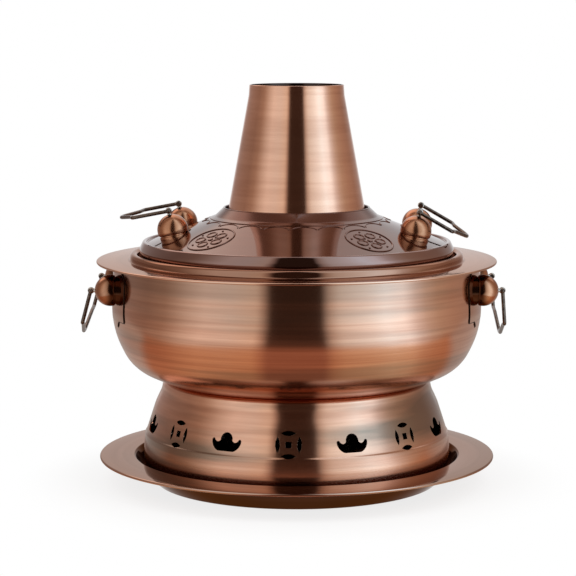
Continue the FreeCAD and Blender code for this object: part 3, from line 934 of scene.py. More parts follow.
def dress(piece: Piece, finish: bpy.types.Material, body: Body,
          replaced: tuple[str, ...] = ()) -> None:
    """Gives a piece its finish, its body and the nodes that it stands for.

    Args:
        piece: The piece.
        finish: Its material.
        body: The body it rides on.
        replaced: Names of the solid model's nodes that it replaces.
    """
    piece.data.materials.clear()
    piece.data.materials.append(finish)
    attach(piece, body.value)
    if replaced:
        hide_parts(*replaced)
    LOG.info("piece %s: %d faces on %s", piece.name, len(piece.data.polygons), body.value)


# ---------------------------------------------------------------- stack of heights


@dataclass(frozen=True)
class Stack:
    """Heights and places that several pieces share."""

    gauge: float = 1.2
    seam: float = 90.7
    rim_underside: float = 192.0
    rim_top: float = 193.2
    ledge: float = 190.6
    groove: float = 207.5
    slope: float = 21.2
    groove_radius: float = 129.0
    chimney_foot: float = 226.0
    chimney_radius: float = 60.6
    chimney_top: Corner = Corner(41.0, 334.0, 6.0)
    lid_turn: float = math.radians(-4.0)
    side_reach: float = 160.3
    side_spread: float = 50.0
    side_height: float = 172.0
    plate_gauge: float = 0.9

    def cone(self, radius: float) -> float:
        """Height of the lid's slope at a radius."""
        return self.groove + (self.groove_radius - radius) * math.tan(math.radians(self.slope))


STACK = Stack()


# ---------------------------------------------------------------- tray and base


@dataclass
class Tray:
    """Drip tray with a flat flange and a rolled edge."""

    radius: float = 171.0
    height: float = 24.0
    bead: float = 1.2
    recess: Span = (141.0, 1.5)
    hip: Corner = Corner(136.3, 13.2, 8.0)
    floor: Corner = Corner(122.0, 0, 5.0)

    def build(self, finishes: Finishes) -> None:
        """Spins the tray and dresses it.

        Args:
            finishes: The finishes.
        """
        underside = self.height - STACK.gauge
        edge = self.radius - self.bead
        recess, rounding = self.recess
        corners = [
            Corner(0, 0),
            self.floor,
            self.hip,
            Corner(recess, underside, rounding),
            Corner(edge, underside),
        ]
        lower = rounded(corners)[:-1]
        upper = rounded(offset(corners, STACK.gauge))[:-1]
        bead = arc((edge, self.height - self.bead), self.bead, *ROLL)
        piece = Bench.spun("drip_tray", lower + bead + upper[::-1], on_axis=True)
        dress(piece, finishes.tray, Body.TRAY, ("tray",))


# Wall of the base, as radius, height above the tray's sheet and rounding, and its flange under the seam.
BASE_WALL = (
    (111.0, 0.0, 0.0),
    (119.0, 0.0, 4.0),
    (131.0, 9.3, 8.0),
    (133.3, 24.8, 60.0),
    (131.6, 42.4, 1.8),
    (130.4, 43.6, 1.8),
    (122.2, 68.8, 55.0),
    (116.8, 80.0, 20.0),
)
BASE_FLANGE = ((115.4, 0.3, 6.0), (102.0, 0.1, 0.0))

# Right half of an ingot vent: a boat with a dome in its middle and an ear at its end.
INGOT_HALF = [
    (0, 7.5), (2.2, 7.1), (4.2, 5.6), (5.4, 3.2), (5.5, 1.0), (6.6, 0.1), (8.0, -0.4), (9.4, 0.1),
    (10.5, 1.0), (10.9, 1.9), (12.0, 2.5), (13.1, 1.9), (13.5, 1.0), (13.2, -1.4), (12.0, -3.9),
    (10.2, -5.8), (8.6, -6.9), (7.0, -7.5),
]


@dataclass
class VentedBase:
    """Waisted base with a row of coin and ingot vents."""

    around: int = 240
    vents: int = 15
    pitch: float = 24.0
    turn: float = -93.0
    vent_height: float = 55.0
    vent_edge: float = 0.4
    coin: float = 11.0
    coin_steps: int = 10
    slot_width: float = 4.0
    square: float = 5.0
    cut_from: float = 90.0
    cut_depth: float = 60.0

    def build(self, finishes: Finishes) -> None:
        """Spins the wall, cuts the vents and dresses it.

        Args:
            finishes: The finishes.
        """
        corners = [Corner(radius, STACK.gauge + up, rounding) for radius, up, rounding in BASE_WALL]
        corners += [Corner(radius, STACK.seam - down, rounding) for radius, down, rounding in BASE_FLANGE]
        piece = Bench.spun("vented_base", sheet(corners, STACK.gauge), around=self.around)
        Bench.cut(piece, self.cutters())
        Bench.soften(piece, self.vent_edge)
        dress(piece, finishes.base, Body.POT, ("base",))

    def cutters(self) -> Piece:
        """Copies the two vents round the base.

        Returns:
            All the vents as one shape that cuts the wall.
        """
        coin, ingot = self.coin_vent(), self.ingot_vent()
        tools = []
        for vent in range(self.vents):
            step = vent - self.vents // 2
            turn = math.radians(self.turn + step * self.pitch)
            model = coin if step % 2 == 0 else ingot
            tools.append(Bench.copy(model, "vent", Matrix.Rotation(turn, 4, "Z")))
        Bench.drop(coin, ingot)
        return Bench.joined("vents", tools)

    def tool(self, name: str, outline: Run) -> Piece:
        """A prism that cuts one hole in the wall, at azimuth 0.

        Args:
            name: Name of the tool.
            outline: The hole, round the middle of the vent.

        Returns:
            The tool.
        """
        middle = Vector((self.cut_from, 0, self.vent_height))
        points = [middle + Vector((0, across, height)) for across, height in outline]
        return Bench.prism(name, points, Vector((self.cut_depth, 0, 0)))

    def coin_vent(self) -> Piece:
        """Four lens slots round a square hole.

        Returns:
            The tool.
        """
        half = self.square / 2
        tools = [self.tool("square", [(-half, -half), (half, -half), (half, half), (-half, half)])]
        middle = 2 * self.coin - self.slot_width
        spread = math.degrees(math.acos(middle / 2 / self.coin))
        lens = arc((0, 0), self.coin, -spread, spread, self.coin_steps)
        lens += arc((middle, 0), self.coin, 180 - spread, 180 + spread, self.coin_steps)[1:-1]
        for quarter in range(4):
            spin = Matrix.Rotation(math.pi / 2 * quarter, 2)
            tools.append(self.tool("lens", [tuple(spin @ Vector(point)) for point in lens]))
        return Bench.joined("coin_vent", tools)

    def ingot_vent(self) -> Piece:
        """Boat shape with a dome in the middle and an ear at each end."""
        return self.tool("ingot_vent", both_sides(INGOT_HALF, 0))


# ---------------------------------------------------------------- pot


@dataclass
class Bowl:
    """Soup bowl with its flat rim."""

    hole: float = 61.5
    foot: Span = (116.4, 3.0)
    hip: Corner = Corner(143.0, 11.8, 38.0)
    belly: Corner = Corner(157.5, 40.8, 75.0)
    shoulder: Corner = Corner(159.4, 62.0, 75.0)
    neck: float = 157.7
    rim_radius: float = 172.3
    rim_bead: float = 0.95
    ridge: Span = (137.0, 143.2)
    ridge_height: float = 6.2
    ridge_foot: float = 1.4
    ridge_top: float = 2.6
    ledge_end: float = 129.6

    def wall(self) -> list[Corner]:
        """Outer face of the bowl from its foot to the rim.

        Returns:
            The corners, from the bottom up.
        """
        seam = STACK.seam
        corners = [Corner(self.foot[0], seam, self.foot[1])]
        for bend in (self.hip, self.belly, self.shoulder):
            corners.append(Corner(bend.radius, seam + bend.height, bend.rounding))
        return corners + [Corner(self.neck, STACK.rim_underside)]

    def build(self, finishes: Finishes) -> None:
        """Spins the bowl and its rim and dresses them.

        Args:
            finishes: The finishes.
        """
        bowl = Bench.spun("soup_bowl", sheet([Corner(self.hole, STACK.seam)] + self.wall(), STACK.gauge))
        dress(bowl, finishes.brushed, Body.POT, ("bowl",))
        top = STACK.rim_top
        crest = top + self.ridge_height
        edge = self.rim_radius - self.rim_bead
        inside, outside = self.ridge
        corners = [
            Corner(edge, top),
            Corner(outside, top, self.ridge_foot),
            Corner(outside, crest, self.ridge_top),
            Corner(inside, crest, self.ridge_top),
            Corner(inside, STACK.ledge, self.ridge_foot),
            Corner(self.ledge_end, STACK.ledge),
        ]
        bead = arc((edge, top - self.rim_bead), self.rim_bead, *ROLL)
        upper = rounded(corners)[1:]
        lower = rounded(offset(corners, STACK.gauge))[1:]
        seat = [(edge - self.rim_bead, STACK.rim_underside)]
        rim = Bench.spun("rim_flange", bead + upper + lower[::-1] + seat)
        dress(rim, finishes.rim, Body.POT, ("rim_ring",))


@dataclass
class FirePlace:
    """Fire tube and charcoal drum, in the middle of the pot."""

    tube_flange: float = 68.3
    tube_foot: Span = (62.8, 1.5)
    tube_lift: float = 2.4
    spigot: float = 59.1
    spigot_height: float = 14.0
    drum: float = 62.7
    drum_depth: float = 60.0
    drum_ledge: float = 48.0
    drum_flange: float = 8.0
    drum_foot: float = 2.7
    drum_shoulder: float = 1.5
    holes: int = 12
    hole_radius: float = 5.0
    hole_depth: float = 40.0
    hole_rise: float = 17.0
    hole_sides: int = 24

    def build(self, finishes: Finishes) -> None:
        """Spins the tube and the drum and dresses them.

        Args:
            finishes: The finishes.
        """
        seam, foot, chimney = STACK.seam, STACK.chimney_foot, STACK.chimney_top
        start = seam + self.tube_lift
        taper = (STACK.chimney_radius - chimney.radius) / (chimney.height - foot)
        tube = Bench.spun("fire_tube_wall", sheet([
            Corner(self.tube_flange, start),
            Corner(self.tube_foot[0], start, self.tube_foot[1]),
            Corner(STACK.chimney_radius, foot),
            Corner(self.spigot, foot),
            Corner(self.spigot - taper * self.spigot_height, foot + self.spigot_height),
        ], STACK.gauge))
        dress(tube, finishes.chimney, Body.POT, ("fire_tube",))
        bottom, top = seam - self.drum_depth, seam - STACK.gauge
        drum = Bench.spun("fire_drum_wall", sheet([
            Corner(self.drum_ledge, bottom),
            Corner(self.drum, bottom, self.drum_foot),
            Corner(self.drum, top, self.drum_shoulder),
            Corner(self.drum + self.drum_flange, top),
        ], STACK.gauge))
        Bench.cut(drum, self.draught_holes(bottom + self.hole_rise))
        dress(drum, finishes.drum, Body.POT, ("fire_drum",))

    def draught_holes(self, height: float) -> Piece:
        """The holes round the drum, as one shape that cuts its wall.

        Args:
            height: Height of their axes.

        Returns:
            The tool.
        """
        bpy.ops.object.select_all(action="DESELECT")
        bpy.ops.mesh.primitive_cylinder_add(
            radius=self.hole_radius * MM, depth=self.hole_depth * MM, vertices=self.hole_sides,
            location=(self.drum * MM, 0, height * MM), rotation=(0, math.pi / 2, 0),
        )
        model = Bench.place(Bench.named("draught_hole"), Matrix.Identity(4))
        turns = [Matrix.Rotation(TURN * step / self.holes, 4, "Z") for step in range(self.holes)]
        tools = [Bench.copy(model, "hole", turn) for turn in turns]
        Bench.drop(model)
        return Bench.joined("holes", tools)


@dataclass
class Chimney:
    """Tapered chimney with a fine rounded lip at its mouth."""

    mouth: Corner = Corner(40.4, 343.0)
    lip_steps: int = 8

    def build(self, finishes: Finishes) -> None:
        """Spins the chimney and dresses it.

        Args:
            finishes: The finishes.
        """
        foot = Corner(STACK.chimney_radius, STACK.chimney_foot)
        outer = rounded([foot, STACK.chimney_top, self.mouth])
        inner = [(radius - STACK.gauge, height) for radius, height in outer]
        half = STACK.gauge / 2
        lip = arc((self.mouth.radius - half, self.mouth.height - half), half, 0, 180, self.lip_steps)
        piece = Bench.spun("chimney_wall", outer[:-1] + lip + inner[:-1][::-1])
        dress(piece, finishes.chimney, Body.CHIMNEY, ("chimney",))


# ---------------------------------------------------------------- lid


@dataclass
class Lid:
    """Ring-shaped lid with a rolled bead, its collar, four medallions and a scalloped line."""

    foot: float = 133.5
    bead: Corner = Corner(135.3, 12.6, 5.0)
    crest: Corner = Corner(132.2, 19.0, 2.0)
    groove_edge: Corner = Corner(129.6, 19.0, 1.4)
    groove_rounding: float = 0.4
    hole: float = 66.0
    collar_foot: float = 74.6
    collar_waist: Corner = Corner(70.4, 2.2, 5.0)
    collar_edge: float = 0.6
    collar_gauge: float = 1.0
    collar_lip: float = 0.8
    collar_rise: float = 5.6
    sleeve: float = 61.6
    sleeve_length: float = 12.0
    sleeve_shoulder: float = 2.0
    play: float = 0.4
    lip_steps: int = 10
    scallops: int = 22
    scallop_root: float = 76.2
    scallop_crest: float = 81.6
    scallop_steps: int = 16
    scallop_fullness: float = 0.6
    scallop_wire: float = 0.45
    scallop_lift: float = 0.05
    medallion_reach: float = 103.0
    medallion_turns: tuple[float, ...] = (-40.0, 40.0, 140.0, -140.0)

    def build(self, finishes: Finishes) -> None:
        """Builds the lid's sheet, its collar and its ornament.

        Args:
            finishes: The finishes.
        """
        corners = [Corner(self.foot, STACK.ledge)]
        for bend in (self.bead, self.crest, self.groove_edge):
            corners.append(Corner(bend.radius, STACK.ledge + bend.height, bend.rounding))
        corners.append(Corner(STACK.groove_radius, STACK.groove, self.groove_rounding))
        corners.append(Corner(self.hole, STACK.cone(self.hole)))
        piece = Bench.spun("ring_lid", sheet(corners, STACK.gauge))
        dress(piece, finishes.lid, Body.LID, ("lid",))
        self.collar(finishes)
        self.line(finishes)
        self.medallions(finishes)

    def collar(self, finishes: Finishes) -> None:
        """Builds the flared collar with a rolled lip and a sleeve.

        Args:
            finishes: The finishes.
        """
        foot = STACK.cone(self.collar_foot)
        outer = self.sleeve + self.collar_gauge
        lip = STACK.cone(self.hole) + self.collar_rise
        waist = self.collar_waist
        flare = rounded([
            Corner(self.collar_foot, foot + self.collar_edge),
            Corner(waist.radius, foot + waist.height, waist.rounding),
            Corner(outer, lip),
        ])
        bead = arc((self.sleeve + self.collar_lip, lip), self.collar_lip, 0, 180, self.lip_steps)
        inside = self.hole + self.play
        run = [(self.collar_foot, foot)] + flare[:-1] + bead + [
            (self.sleeve, lip - self.sleeve_length),
            (outer, lip - self.sleeve_length),
            (outer, lip - self.sleeve_shoulder),
            (inside, STACK.cone(self.hole) + self.collar_gauge),
            (inside, STACK.cone(inside)),
        ]
        piece = Bench.spun("lid_collar_flare", run)
        dress(piece, finishes.collar, Body.LID, ("lid_collar",))

    def onto_cone(self, piece: Piece, reach: float, azimuth: float) -> None:
        """Lays a flat piece on the lid's slope by moving its vertices.

        Args:
            piece: A flat piece: X runs round the lid, Y down its slope and Z off its surface.
            reach: Radius of its origin on the lid.
            azimuth: Where its origin lies round the axis, in radians.
        """
        tilt = math.radians(STACK.slope)
        for vertex in piece.data.vertices:
            around, down, lift = vertex.co / MM
            radius = reach + down * math.cos(tilt)
            turn = azimuth + around / radius
            out = radius + lift * math.sin(tilt)
            height = STACK.cone(radius) + lift * math.cos(tilt)
            vertex.co = Vector((out * math.cos(turn), out * math.sin(turn), height)) * MM
        Bench.close(piece)

    def line(self, finishes: Finishes) -> None:
        """Builds the scalloped line pressed round the collar's foot.

        Args:
            finishes: The finishes.
        """
        pitch = TURN / self.scallops
        rise = self.scallop_crest - self.scallop_root
        chord = pitch * self.scallop_root
        points = []
        for step in range(self.scallop_steps + 1):
            share = step / self.scallop_steps
            bulge = math.sin(math.pi * share) ** self.scallop_fullness
            points.append(Vector(((share - 0.5) * chord, rise * (1 - bulge), self.scallop_lift)))
        arcs = []
        for index in range(self.scallops):
            piece = Bench.wire("scallop", points, self.scallop_wire)
            self.onto_cone(piece, self.scallop_root, STACK.lid_turn + pitch * (index + 0.5) - math.pi / 2)
            arcs.append(piece)
        dress(Bench.joined("scalloped_line", arcs), finishes.lid, Body.LID)

    def medallions(self, finishes: Finishes) -> None:
        """Builds the four medallions.

        Args:
            finishes: The finishes.
        """
        for index, turn in enumerate(self.medallion_turns):
            piece = Medallion().build("medallion_" + str(index + 1))
            self.onto_cone(piece, self.medallion_reach, STACK.lid_turn + math.radians(turn - 90))
            dress(piece, finishes.lid, Body.LID)


# Border of a medallion and edge of its bosses, as distance beyond their radius and height over the lid.
# Both start inside the lid's sheet.
BORDER = [(-1.6, -0.3), (0, -0.3), (-0.1, 0.42), (-0.5, 0.7), (-1.1, 0.7), (-1.5, 0.42)]
BOSS = [(0, -0.3), (-0.1, 0.35), (-0.5, 0.7)]


@dataclass
class Medallion:
    """A flat medallion: a round border, five petals, a heart and its stamens."""

    radius: float = 20.8
    around: int = 72
    boss_around: int = 24
    boss_top: float = 0.77
    hollow_lip: Span = (-1.0, 0.7)
    hollow_floor: Span = (0.07, 0.035)
    petals: int = 5
    petal: Span = (5.0, 3.4)
    petal_reach: float = 9.6
    stamen: float = 0.7
    stamen_reach: float = 4.4
    bead: float = 1.0
    bead_reach: float = 15.6
    heart: float = 2.4

    def build(self, name: str) -> Piece:
        """Builds the medallion round the origin.

        Args:
            name: Name of the new piece.

        Returns:
            The flat medallion.
        """
        border = [(self.radius + beyond, height) for beyond, height in BORDER]
        parts = [Bench.spun("border", border, around=self.around)]
        for petal in range(self.petals):
            turn = TURN * petal / self.petals
            between = TURN * (petal + 0.5) / self.petals
            parts.append(self.boss(turn, self.petal_reach, *self.petal))
            parts.append(self.boss(turn, self.stamen_reach, self.stamen))
            parts.append(self.boss(between, self.bead_reach, self.bead))
        parts.append(self.boss(0.0, 0.0, self.heart))
        return Bench.joined(name, parts)

    def boss(self, turn: float, reach: float, radius: float, hollow: float = 0.0) -> Piece:
        """A low round boss, with a hollow in its top where one is given.

        Args:
            turn: Where it lies round the middle, in radians.
            reach: How far it lies from the middle.
            radius: Its radius.
            hollow: Radius of the hollow's floor.

        Returns:
            The boss.
        """
        run = [(0, BOSS[0][1])] + [(radius + beyond, height) for beyond, height in BOSS]
        if hollow:
            beyond, crest = self.hollow_lip
            edge, middle = self.hollow_floor
            run += [(radius + beyond, crest), (hollow, edge), (0, middle)]
        else:
            run += [(0, self.boss_top)]
        boss = Bench.spun("boss", run, around=self.boss_around, on_axis=True)
        centre = Matrix.Rotation(turn, 4, "Z") @ Vector((0, reach, 0))
        return Bench.place(boss, Matrix.Translation(centre * MM))


# ---------------------------------------------------------------- knobs, plates and bails

# Foot of a knob, as distance beyond its rim and height, with the groove under the dome.
KNOB_FOOT = [(-0.5, -9.8), (-0.5, -1.1), (-0.8, -0.8), (-1.3, -0.75), (-1.3, -0.1), (-0.5, 0.0)]
# Stem of an eye, as radius and height above the knob's top.
EYE_STEM = [(0, -4.0), (1.1, -4.0), (1.1, -0.3), (1.9, -0.1), (1.8, 0.3), (1.1, 0.6), (0.9, 1.0), (0, 1.0)]
# Cap at the end of a pin, as radius and distance from its end.
PIN_CAP = [(0, 0), (1.7, 0), (2.1, 0.25), (2.1, 0.6), (1.8, 0.8), (1.3, 0.85)]
# Right half of a shield plate, round the knob's axis.
SHIELD_HALF = [
    (0, -31.0), (1.6, -29.5), (3.2, -27.4), (6.5, -25.6), (18.4, -25.6), (19.0, -25.0), (19.0, 4.0),
    (18.6, 7.6), (17.0, 11.5), (14.4, 14.2), (11.0, 15.5), (0, 15.5),
]


@dataclass
class KnobSet:
    """Four domed knobs with eyes, and the two bails between them."""

    prefix: str
    seat: Vector
    tilt: float
    body: Body
    drops: dict[Way, float]
    length: float
    turn: float = 0.0
    radius: float = 13.2
    rise: float = 3.9
    dome_start: float = 3.0
    dome_steps: int = 26
    around: int = 64
    eye: float = 20.2
    eye_ring: Span = (2.1, 0.75)
    eye_segments: tuple[int, int] = (40, 14)
    small_around: int = 28
    wire: float = 1.6
    nose: float = 14.5
    overhang: float = 3.6
    bend: float = 2.4
    shoulder: Span = (2.2, 13.5)
    grip: Span = (5.0, 12.0)
    pin_reach: float = 7.8
    knuckle: float = 2.2
    knuckle_arc: tuple[int, int, int] = (-54, 90, 14)

    def axis(self) -> Matrix:
        """Takes the knob's own Z to its direction on the right-hand side."""
        return Matrix.Rotation(self.tilt, 4, "Y")

    def seat_matrix(self) -> Matrix:
        """Takes a knob drawn at the origin to the right rear seat."""
        return Matrix.Translation(self.seat * MM) @ self.axis()

    def build(self, finishes: Finishes, finish: bpy.types.Material, carrier: Piece) -> None:
        """Builds a knob and an eye once, copies them to the corners and adds the bails.

        Args:
            finishes: The finishes.
            finish: The knobs' own finish.
            carrier: A solid that trims the knob's foot, thrown away afterwards.
        """
        knob = Bench.place(self.knob(), self.seat_matrix())
        Bench.cut(knob, carrier)
        eye = Bench.place(self.ring_and_stem(), self.seat_matrix())
        spin = Matrix.Rotation(self.turn, 4, "Z")
        for corner, image in corners_of_pot():
            piece = Bench.copy(knob, self.prefix + "_dome_" + corner, spin @ image)
            dress(piece, finish, self.body, (self.prefix + "_knob_" + corner,))
            piece = Bench.copy(eye, self.prefix + "_ring_" + corner, spin @ image)
            dress(piece, finishes.eye, self.body, (self.prefix + "_eye_" + corner,))
        Bench.drop(knob, eye)
        for way in Way:
            self.bail(finishes, way, spin)

    def knob(self) -> Piece:
        """Dome above a groove, with a foot below it.

        Returns:
            The knob, at the origin.
        """
        base = math.degrees(math.asin(-self.rise / self.radius))
        rim = self.radius * math.cos(math.radians(base))
        dome = arc((0, self.rise), self.radius, base + self.dome_start, 90, self.dome_steps)[:-1]
        foot = [(0, KNOB_FOOT[0][1])] + [(rim + beyond, height) for beyond, height in KNOB_FOOT]
        run = foot + dome + [(0, self.rise + self.radius)]
        return Bench.spun("knob", run, around=self.around, on_axis=True)

    def ring_and_stem(self) -> Piece:
        """Ring on a stem, its hole along Y.

        Returns:
            The eye, on the knob at the origin.
        """
        bpy.ops.object.select_all(action="DESELECT")
        bpy.ops.mesh.primitive_torus_add(
            major_radius=self.eye_ring[0] * MM, minor_radius=self.eye_ring[1] * MM,
            major_segments=self.eye_segments[0], minor_segments=self.eye_segments[1],
            location=(0, 0, self.eye * MM), rotation=(math.pi / 2, 0, 0),
        )
        ring = Bench.place(Bench.named("ring"), Matrix.Identity(4))
        top = self.rise + self.radius
        run = [(radius, top + height) for radius, height in EYE_STEM]
        stem = Bench.spun("stem", run, around=self.small_around, on_axis=True)
        piece = Bench.joined("eye", [ring, stem])
        bpy.ops.object.shade_smooth_by_angle(angle=SHARP)
        return piece

    def bail(self, finishes: Finishes, way: Way, spin: Matrix) -> None:
        """Builds a bent wire with a knuckle, a pin and a cap at each end.

        Args:
            finishes: The finishes.
            way: The side it is on.
            spin: The turn of the whole set round the pot's axis.
        """
        half = abs(self.seat.y) + self.overhang
        arm = self.length - self.nose
        out, narrower = self.shoulder
        side = [
            Corner(0, half),
            Corner(arm, half, self.bend),
            Corner(arm + out, half - narrower, self.bend),
            Corner(self.length, *self.grip),
        ]
        corners = side + [Corner(c.radius, -c.height, c.rounding) for c in reversed(side)]
        parts = [Bench.wire("bend", [Vector((x, y, 0)) for x, y in rounded(corners)], self.wire)]
        for end in End:
            parts.append(self.pin(end.value, half))
        name = self.prefix + "_bail_" + way.name.lower()
        piece = Bench.joined(name + "_wire", parts)
        bpy.ops.object.shade_smooth_by_angle(angle=SHARP)
        drop = Matrix.Rotation(math.radians(self.drops[way]), 4, "Y")
        centre = self.seat + self.axis().to_3x3() @ Vector((0, 0, self.eye))
        hinge = Matrix.Translation(Vector((centre.x, 0, centre.z)) * MM)
        Bench.place(piece, spin @ Matrix.Diagonal((way.value, 1, 1, 1)) @ hinge @ drop)
        if way is Way.LEFT:
            Bench.close(piece)
        piece.visible_glossy = self.body is Body.LID
        dress(piece, finishes.bail, Body(name), (name,))

    def pin(self, way: int, half: float) -> Piece:
        """Knuckle ball, pin and end cap, turned as one piece and laid along Y.

        Args:
            way: 1 or -1, the way it lies along Y.
            half: Distance of the knuckle from the bail's middle.

        Returns:
            The pin.
        """
        ball = arc((0, 0), self.knuckle, *self.knuckle_arc)[:-1]
        cap = [(radius, inwards - self.pin_reach) for radius, inwards in PIN_CAP]
        run = cap + ball + [(0, self.knuckle)]
        piece = Bench.spun("pin", run, around=self.small_around, on_axis=True)
        aside = Matrix.Translation(Vector((0, way * half, 0)) * MM)
        return Bench.place(piece, aside @ Matrix.Rotation(-way * math.pi / 2, 4, "X"))


@dataclass
class ShieldPlates:
    """Shield-shaped plates on the bowl behind the side knobs, each with a dark layer round it as a painted
    shadow.
    """

    edge: float = 0.3
    # How far the dark layer of painted shadow reaches beyond the plate, and how thick it is.
    seam: float = 1.0
    shadow_gauge: float = 0.25
    middle: float = -5.0
    stamp_from: float = 120.0
    stamp_depth: float = 60.0

    def build(self, finishes: Finishes, wall: list[Corner]) -> None:
        """Cuts a plate and its painted shadow out of layers on the bowl's wall and copies both to the
        corners.

        Args:
            finishes: The finishes.
            wall: Outer face of the bowl.
        """
        outline = both_sides(SHIELD_HALF, 1)
        plate = self.layer(wall, outline, STACK.plate_gauge)
        Bench.soften(plate, self.edge)
        # The painted shadow: a dark layer whose outline is the plate's, grown all round.
        grown = []
        for across, height in outline:
            spoke = Vector((across, height - self.middle))
            spoke *= 1 + self.seam / spoke.length
            grown.append((spoke.x, spoke.y + self.middle))
        seam = self.layer(wall, grown, self.shadow_gauge)
        for corner, image in corners_of_pot():
            piece = Bench.copy(plate, "shield_" + corner, image)
            dress(piece, finishes.plate, Body.POT, ("side_plate_" + corner,))
            piece = Bench.copy(seam, "shield_seam_" + corner, image)
            dress(piece, finishes.seam, Body.POT)
        Bench.drop(plate, seam)

    def layer(self, wall: list[Corner], outline: Run, gauge: float) -> Piece:
        """A layer on the bowl's wall, cut to an outline at the right rear corner.

        Args:
            wall: Outer face of the bowl.
            outline: The outline, round the knob's axis.
            gauge: Thickness of the layer.

        Returns:
            The layer.
        """
        points = [Vector((self.stamp_from, across, STACK.side_height + height)) for across, height in outline]
        stamp = Bench.prism("shield", points, Vector((self.stamp_depth, 0, 0)))
        Bench.place(stamp, Matrix.Rotation(math.asin(STACK.side_spread / STACK.side_reach), 4, "Z"))
        piece = Bench.spun("layer", sheet(wall, -gauge))
        Bench.cut(piece, stamp, "INTERSECT")
        return piece


# ---------------------------------------------------------------- studio


@dataclass(frozen=True)
class Glow:
    """Light that reaches the pot's metal from one direction round it."""

    azimuth: float
    colour: Colour


DARK_CARD = (0.05, 0.03, 0.022)
GLOWS = (
    Glow(-180, (0.85, 0.85, 0.87)),
    Glow(-165, (0.75, 0.73, 0.73)),
    Glow(-150, (0.40, 0.33, 0.31)),
    Glow(-100, (0.33, 0.25, 0.21)),
    Glow(-84, (0.42, 0.33, 0.27)),
    Glow(-76, (0.55, 0.48, 0.42)),
    Glow(-66, (0.76, 0.74, 0.70)),
    Glow(-55, (0.95, 0.98, 0.97)),
    Glow(-38, (0.90, 0.96, 0.96)),
    Glow(-23, (0.90, 0.88, 0.80)),
    Glow(-19, (0.55, 0.46, 0.40)),
    Glow(-15, DARK_CARD),
    Glow(14, DARK_CARD),
    Glow(19, (0.66, 0.64, 0.60)),
    Glow(25, (0.96, 1.10, 1.14)),
    Glow(42, (1.22, 1.55, 1.75)),
    Glow(53, (1.40, 1.95, 2.35)),
    Glow(65, (1.36, 1.75, 2.05)),
    Glow(74, (0.90, 1.00, 1.08)),
    Glow(82, (0.68, 0.66, 0.62)),
    Glow(92, (0.54, 0.46, 0.38)),
    Glow(106, (0.46, 0.35, 0.28)),
    Glow(126, (0.38, 0.28, 0.23)),
    Glow(150, (0.42, 0.37, 0.36)),
    Glow(165, (0.75, 0.75, 0.76)),
    Glow(180, (0.85, 0.85, 0.87)),
)


@dataclass
class Tent:
    """A round tent of studio cards, seen only in the metal.

    Its shape is in millimetres. The steps between its colours are in metres.
    """

    section: tuple[Span, ...] = ((140, 1), (420, 1), (2000, 1), (2000, 2200), (0, 3100))
    around: int = 96
    roof_left: Colour = (1.56, 1.3, 1.15)
    roof_right: Colour = (0.95, 0.92, 0.9)
    roof_sides: Span = (-0.75, 0.75)
    roof_height: Span = (0.9, 1.5)
    roof_back: Span = (0.6, 1.2)
    ground: Colour = (0.33, 0.155, 0.10)
    spill: Colour = (0.32, 0.25, 0.155)
    apron: Colour = (0.46, 0.41, 0.38)
    apron_front: Span = (0.02, 0.12)
    ground_edge: Span = (0.40, 0.44)
    ground_height: Span = (0.002, 0.01)
    back_step: Span = (-0.2, 0.7)
    back_reach: float = 0.6

    def build(self) -> None:
        """Spins the tent and lets it glow by its direction and its height."""
        piece = Bench.spun("tent", list(self.section), around=self.around, on_axis=True)
        piece.visible_camera = False
        piece.visible_shadow = False
        piece.visible_diffuse = False
        piece.visible_transmission = False
        nodes = Nodes.material("tent")
        across, along, height = nodes.split(nodes.place())
        turn = nodes.math("ARCTAN2", across, nodes.math("MULTIPLY", along, -1.0))
        share = nodes.math("ADD", nodes.math("DIVIDE", turn, TURN), 0.5)
        cards = nodes.ramp(share, [((glow.azimuth + 180) / 360, glow.colour) for glow in GLOWS])
        roof = nodes.mix(nodes.rise(across, self.roof_sides), self.roof_left, self.roof_right)
        high, back = nodes.rise(height, self.roof_height), nodes.rise(along, self.roof_back)
        wall = nodes.mix(nodes.math("MULTIPLY", high, back), cards, roof)
        behind = nodes.math("MULTIPLY", nodes.rise(along, self.back_step), self.back_reach)
        far = nodes.rise(nodes.math("SUBTRACT", nodes.reach(across, along), behind), self.ground_edge)
        low = nodes.math("SUBTRACT", 1.0, nodes.rise(height, self.ground_height))
        near = nodes.math("MULTIPLY", low, nodes.math("SUBTRACT", 1.0, far))
        lit = nodes.mix(1.0, nodes.mix(1.0, cards, self.spill, "MULTIPLY"), self.ground, "ADD")
        floor = nodes.mix(nodes.rise(along, self.apron_front), lit, self.apron)
        light = nodes.add("Emission")
        nodes.put(light.inputs["Color"], nodes.mix(near, wall, floor))
        nodes.surface(light.outputs[0])
        piece.data.materials.append(nodes.owner)


@dataclass(frozen=True)
class SoftBox:
    """A rectangular lamp that looks at the pot, in metres."""

    name: str
    azimuth: float
    radiance: float
    distance: float = 1.3
    height: float = 1.6
    width: float = 1.0
    tall: float = 1.4
    aim: float = 0.17

    def build(self) -> None:
        """Adds the lamp with the power that its radiance needs."""
        turn = math.radians(self.azimuth - 90)
        place = Vector((self.distance * math.cos(turn), self.distance * math.sin(turn), self.height))
        bpy.ops.object.light_add(type="AREA", location=place)
        lamp = bpy.context.object
        lamp.name = self.name
        lamp.rotation_euler = (Vector((0, 0, self.aim)) - place).to_track_quat("-Z", "Y").to_euler()
        lamp.data.shape = "RECTANGLE"
        lamp.data.size = self.width
        lamp.data.size_y = self.tall
        lamp.data.energy = self.radiance * math.pi * self.width * self.tall
        lamp.visible_camera = False
        lamp.visible_glossy = False


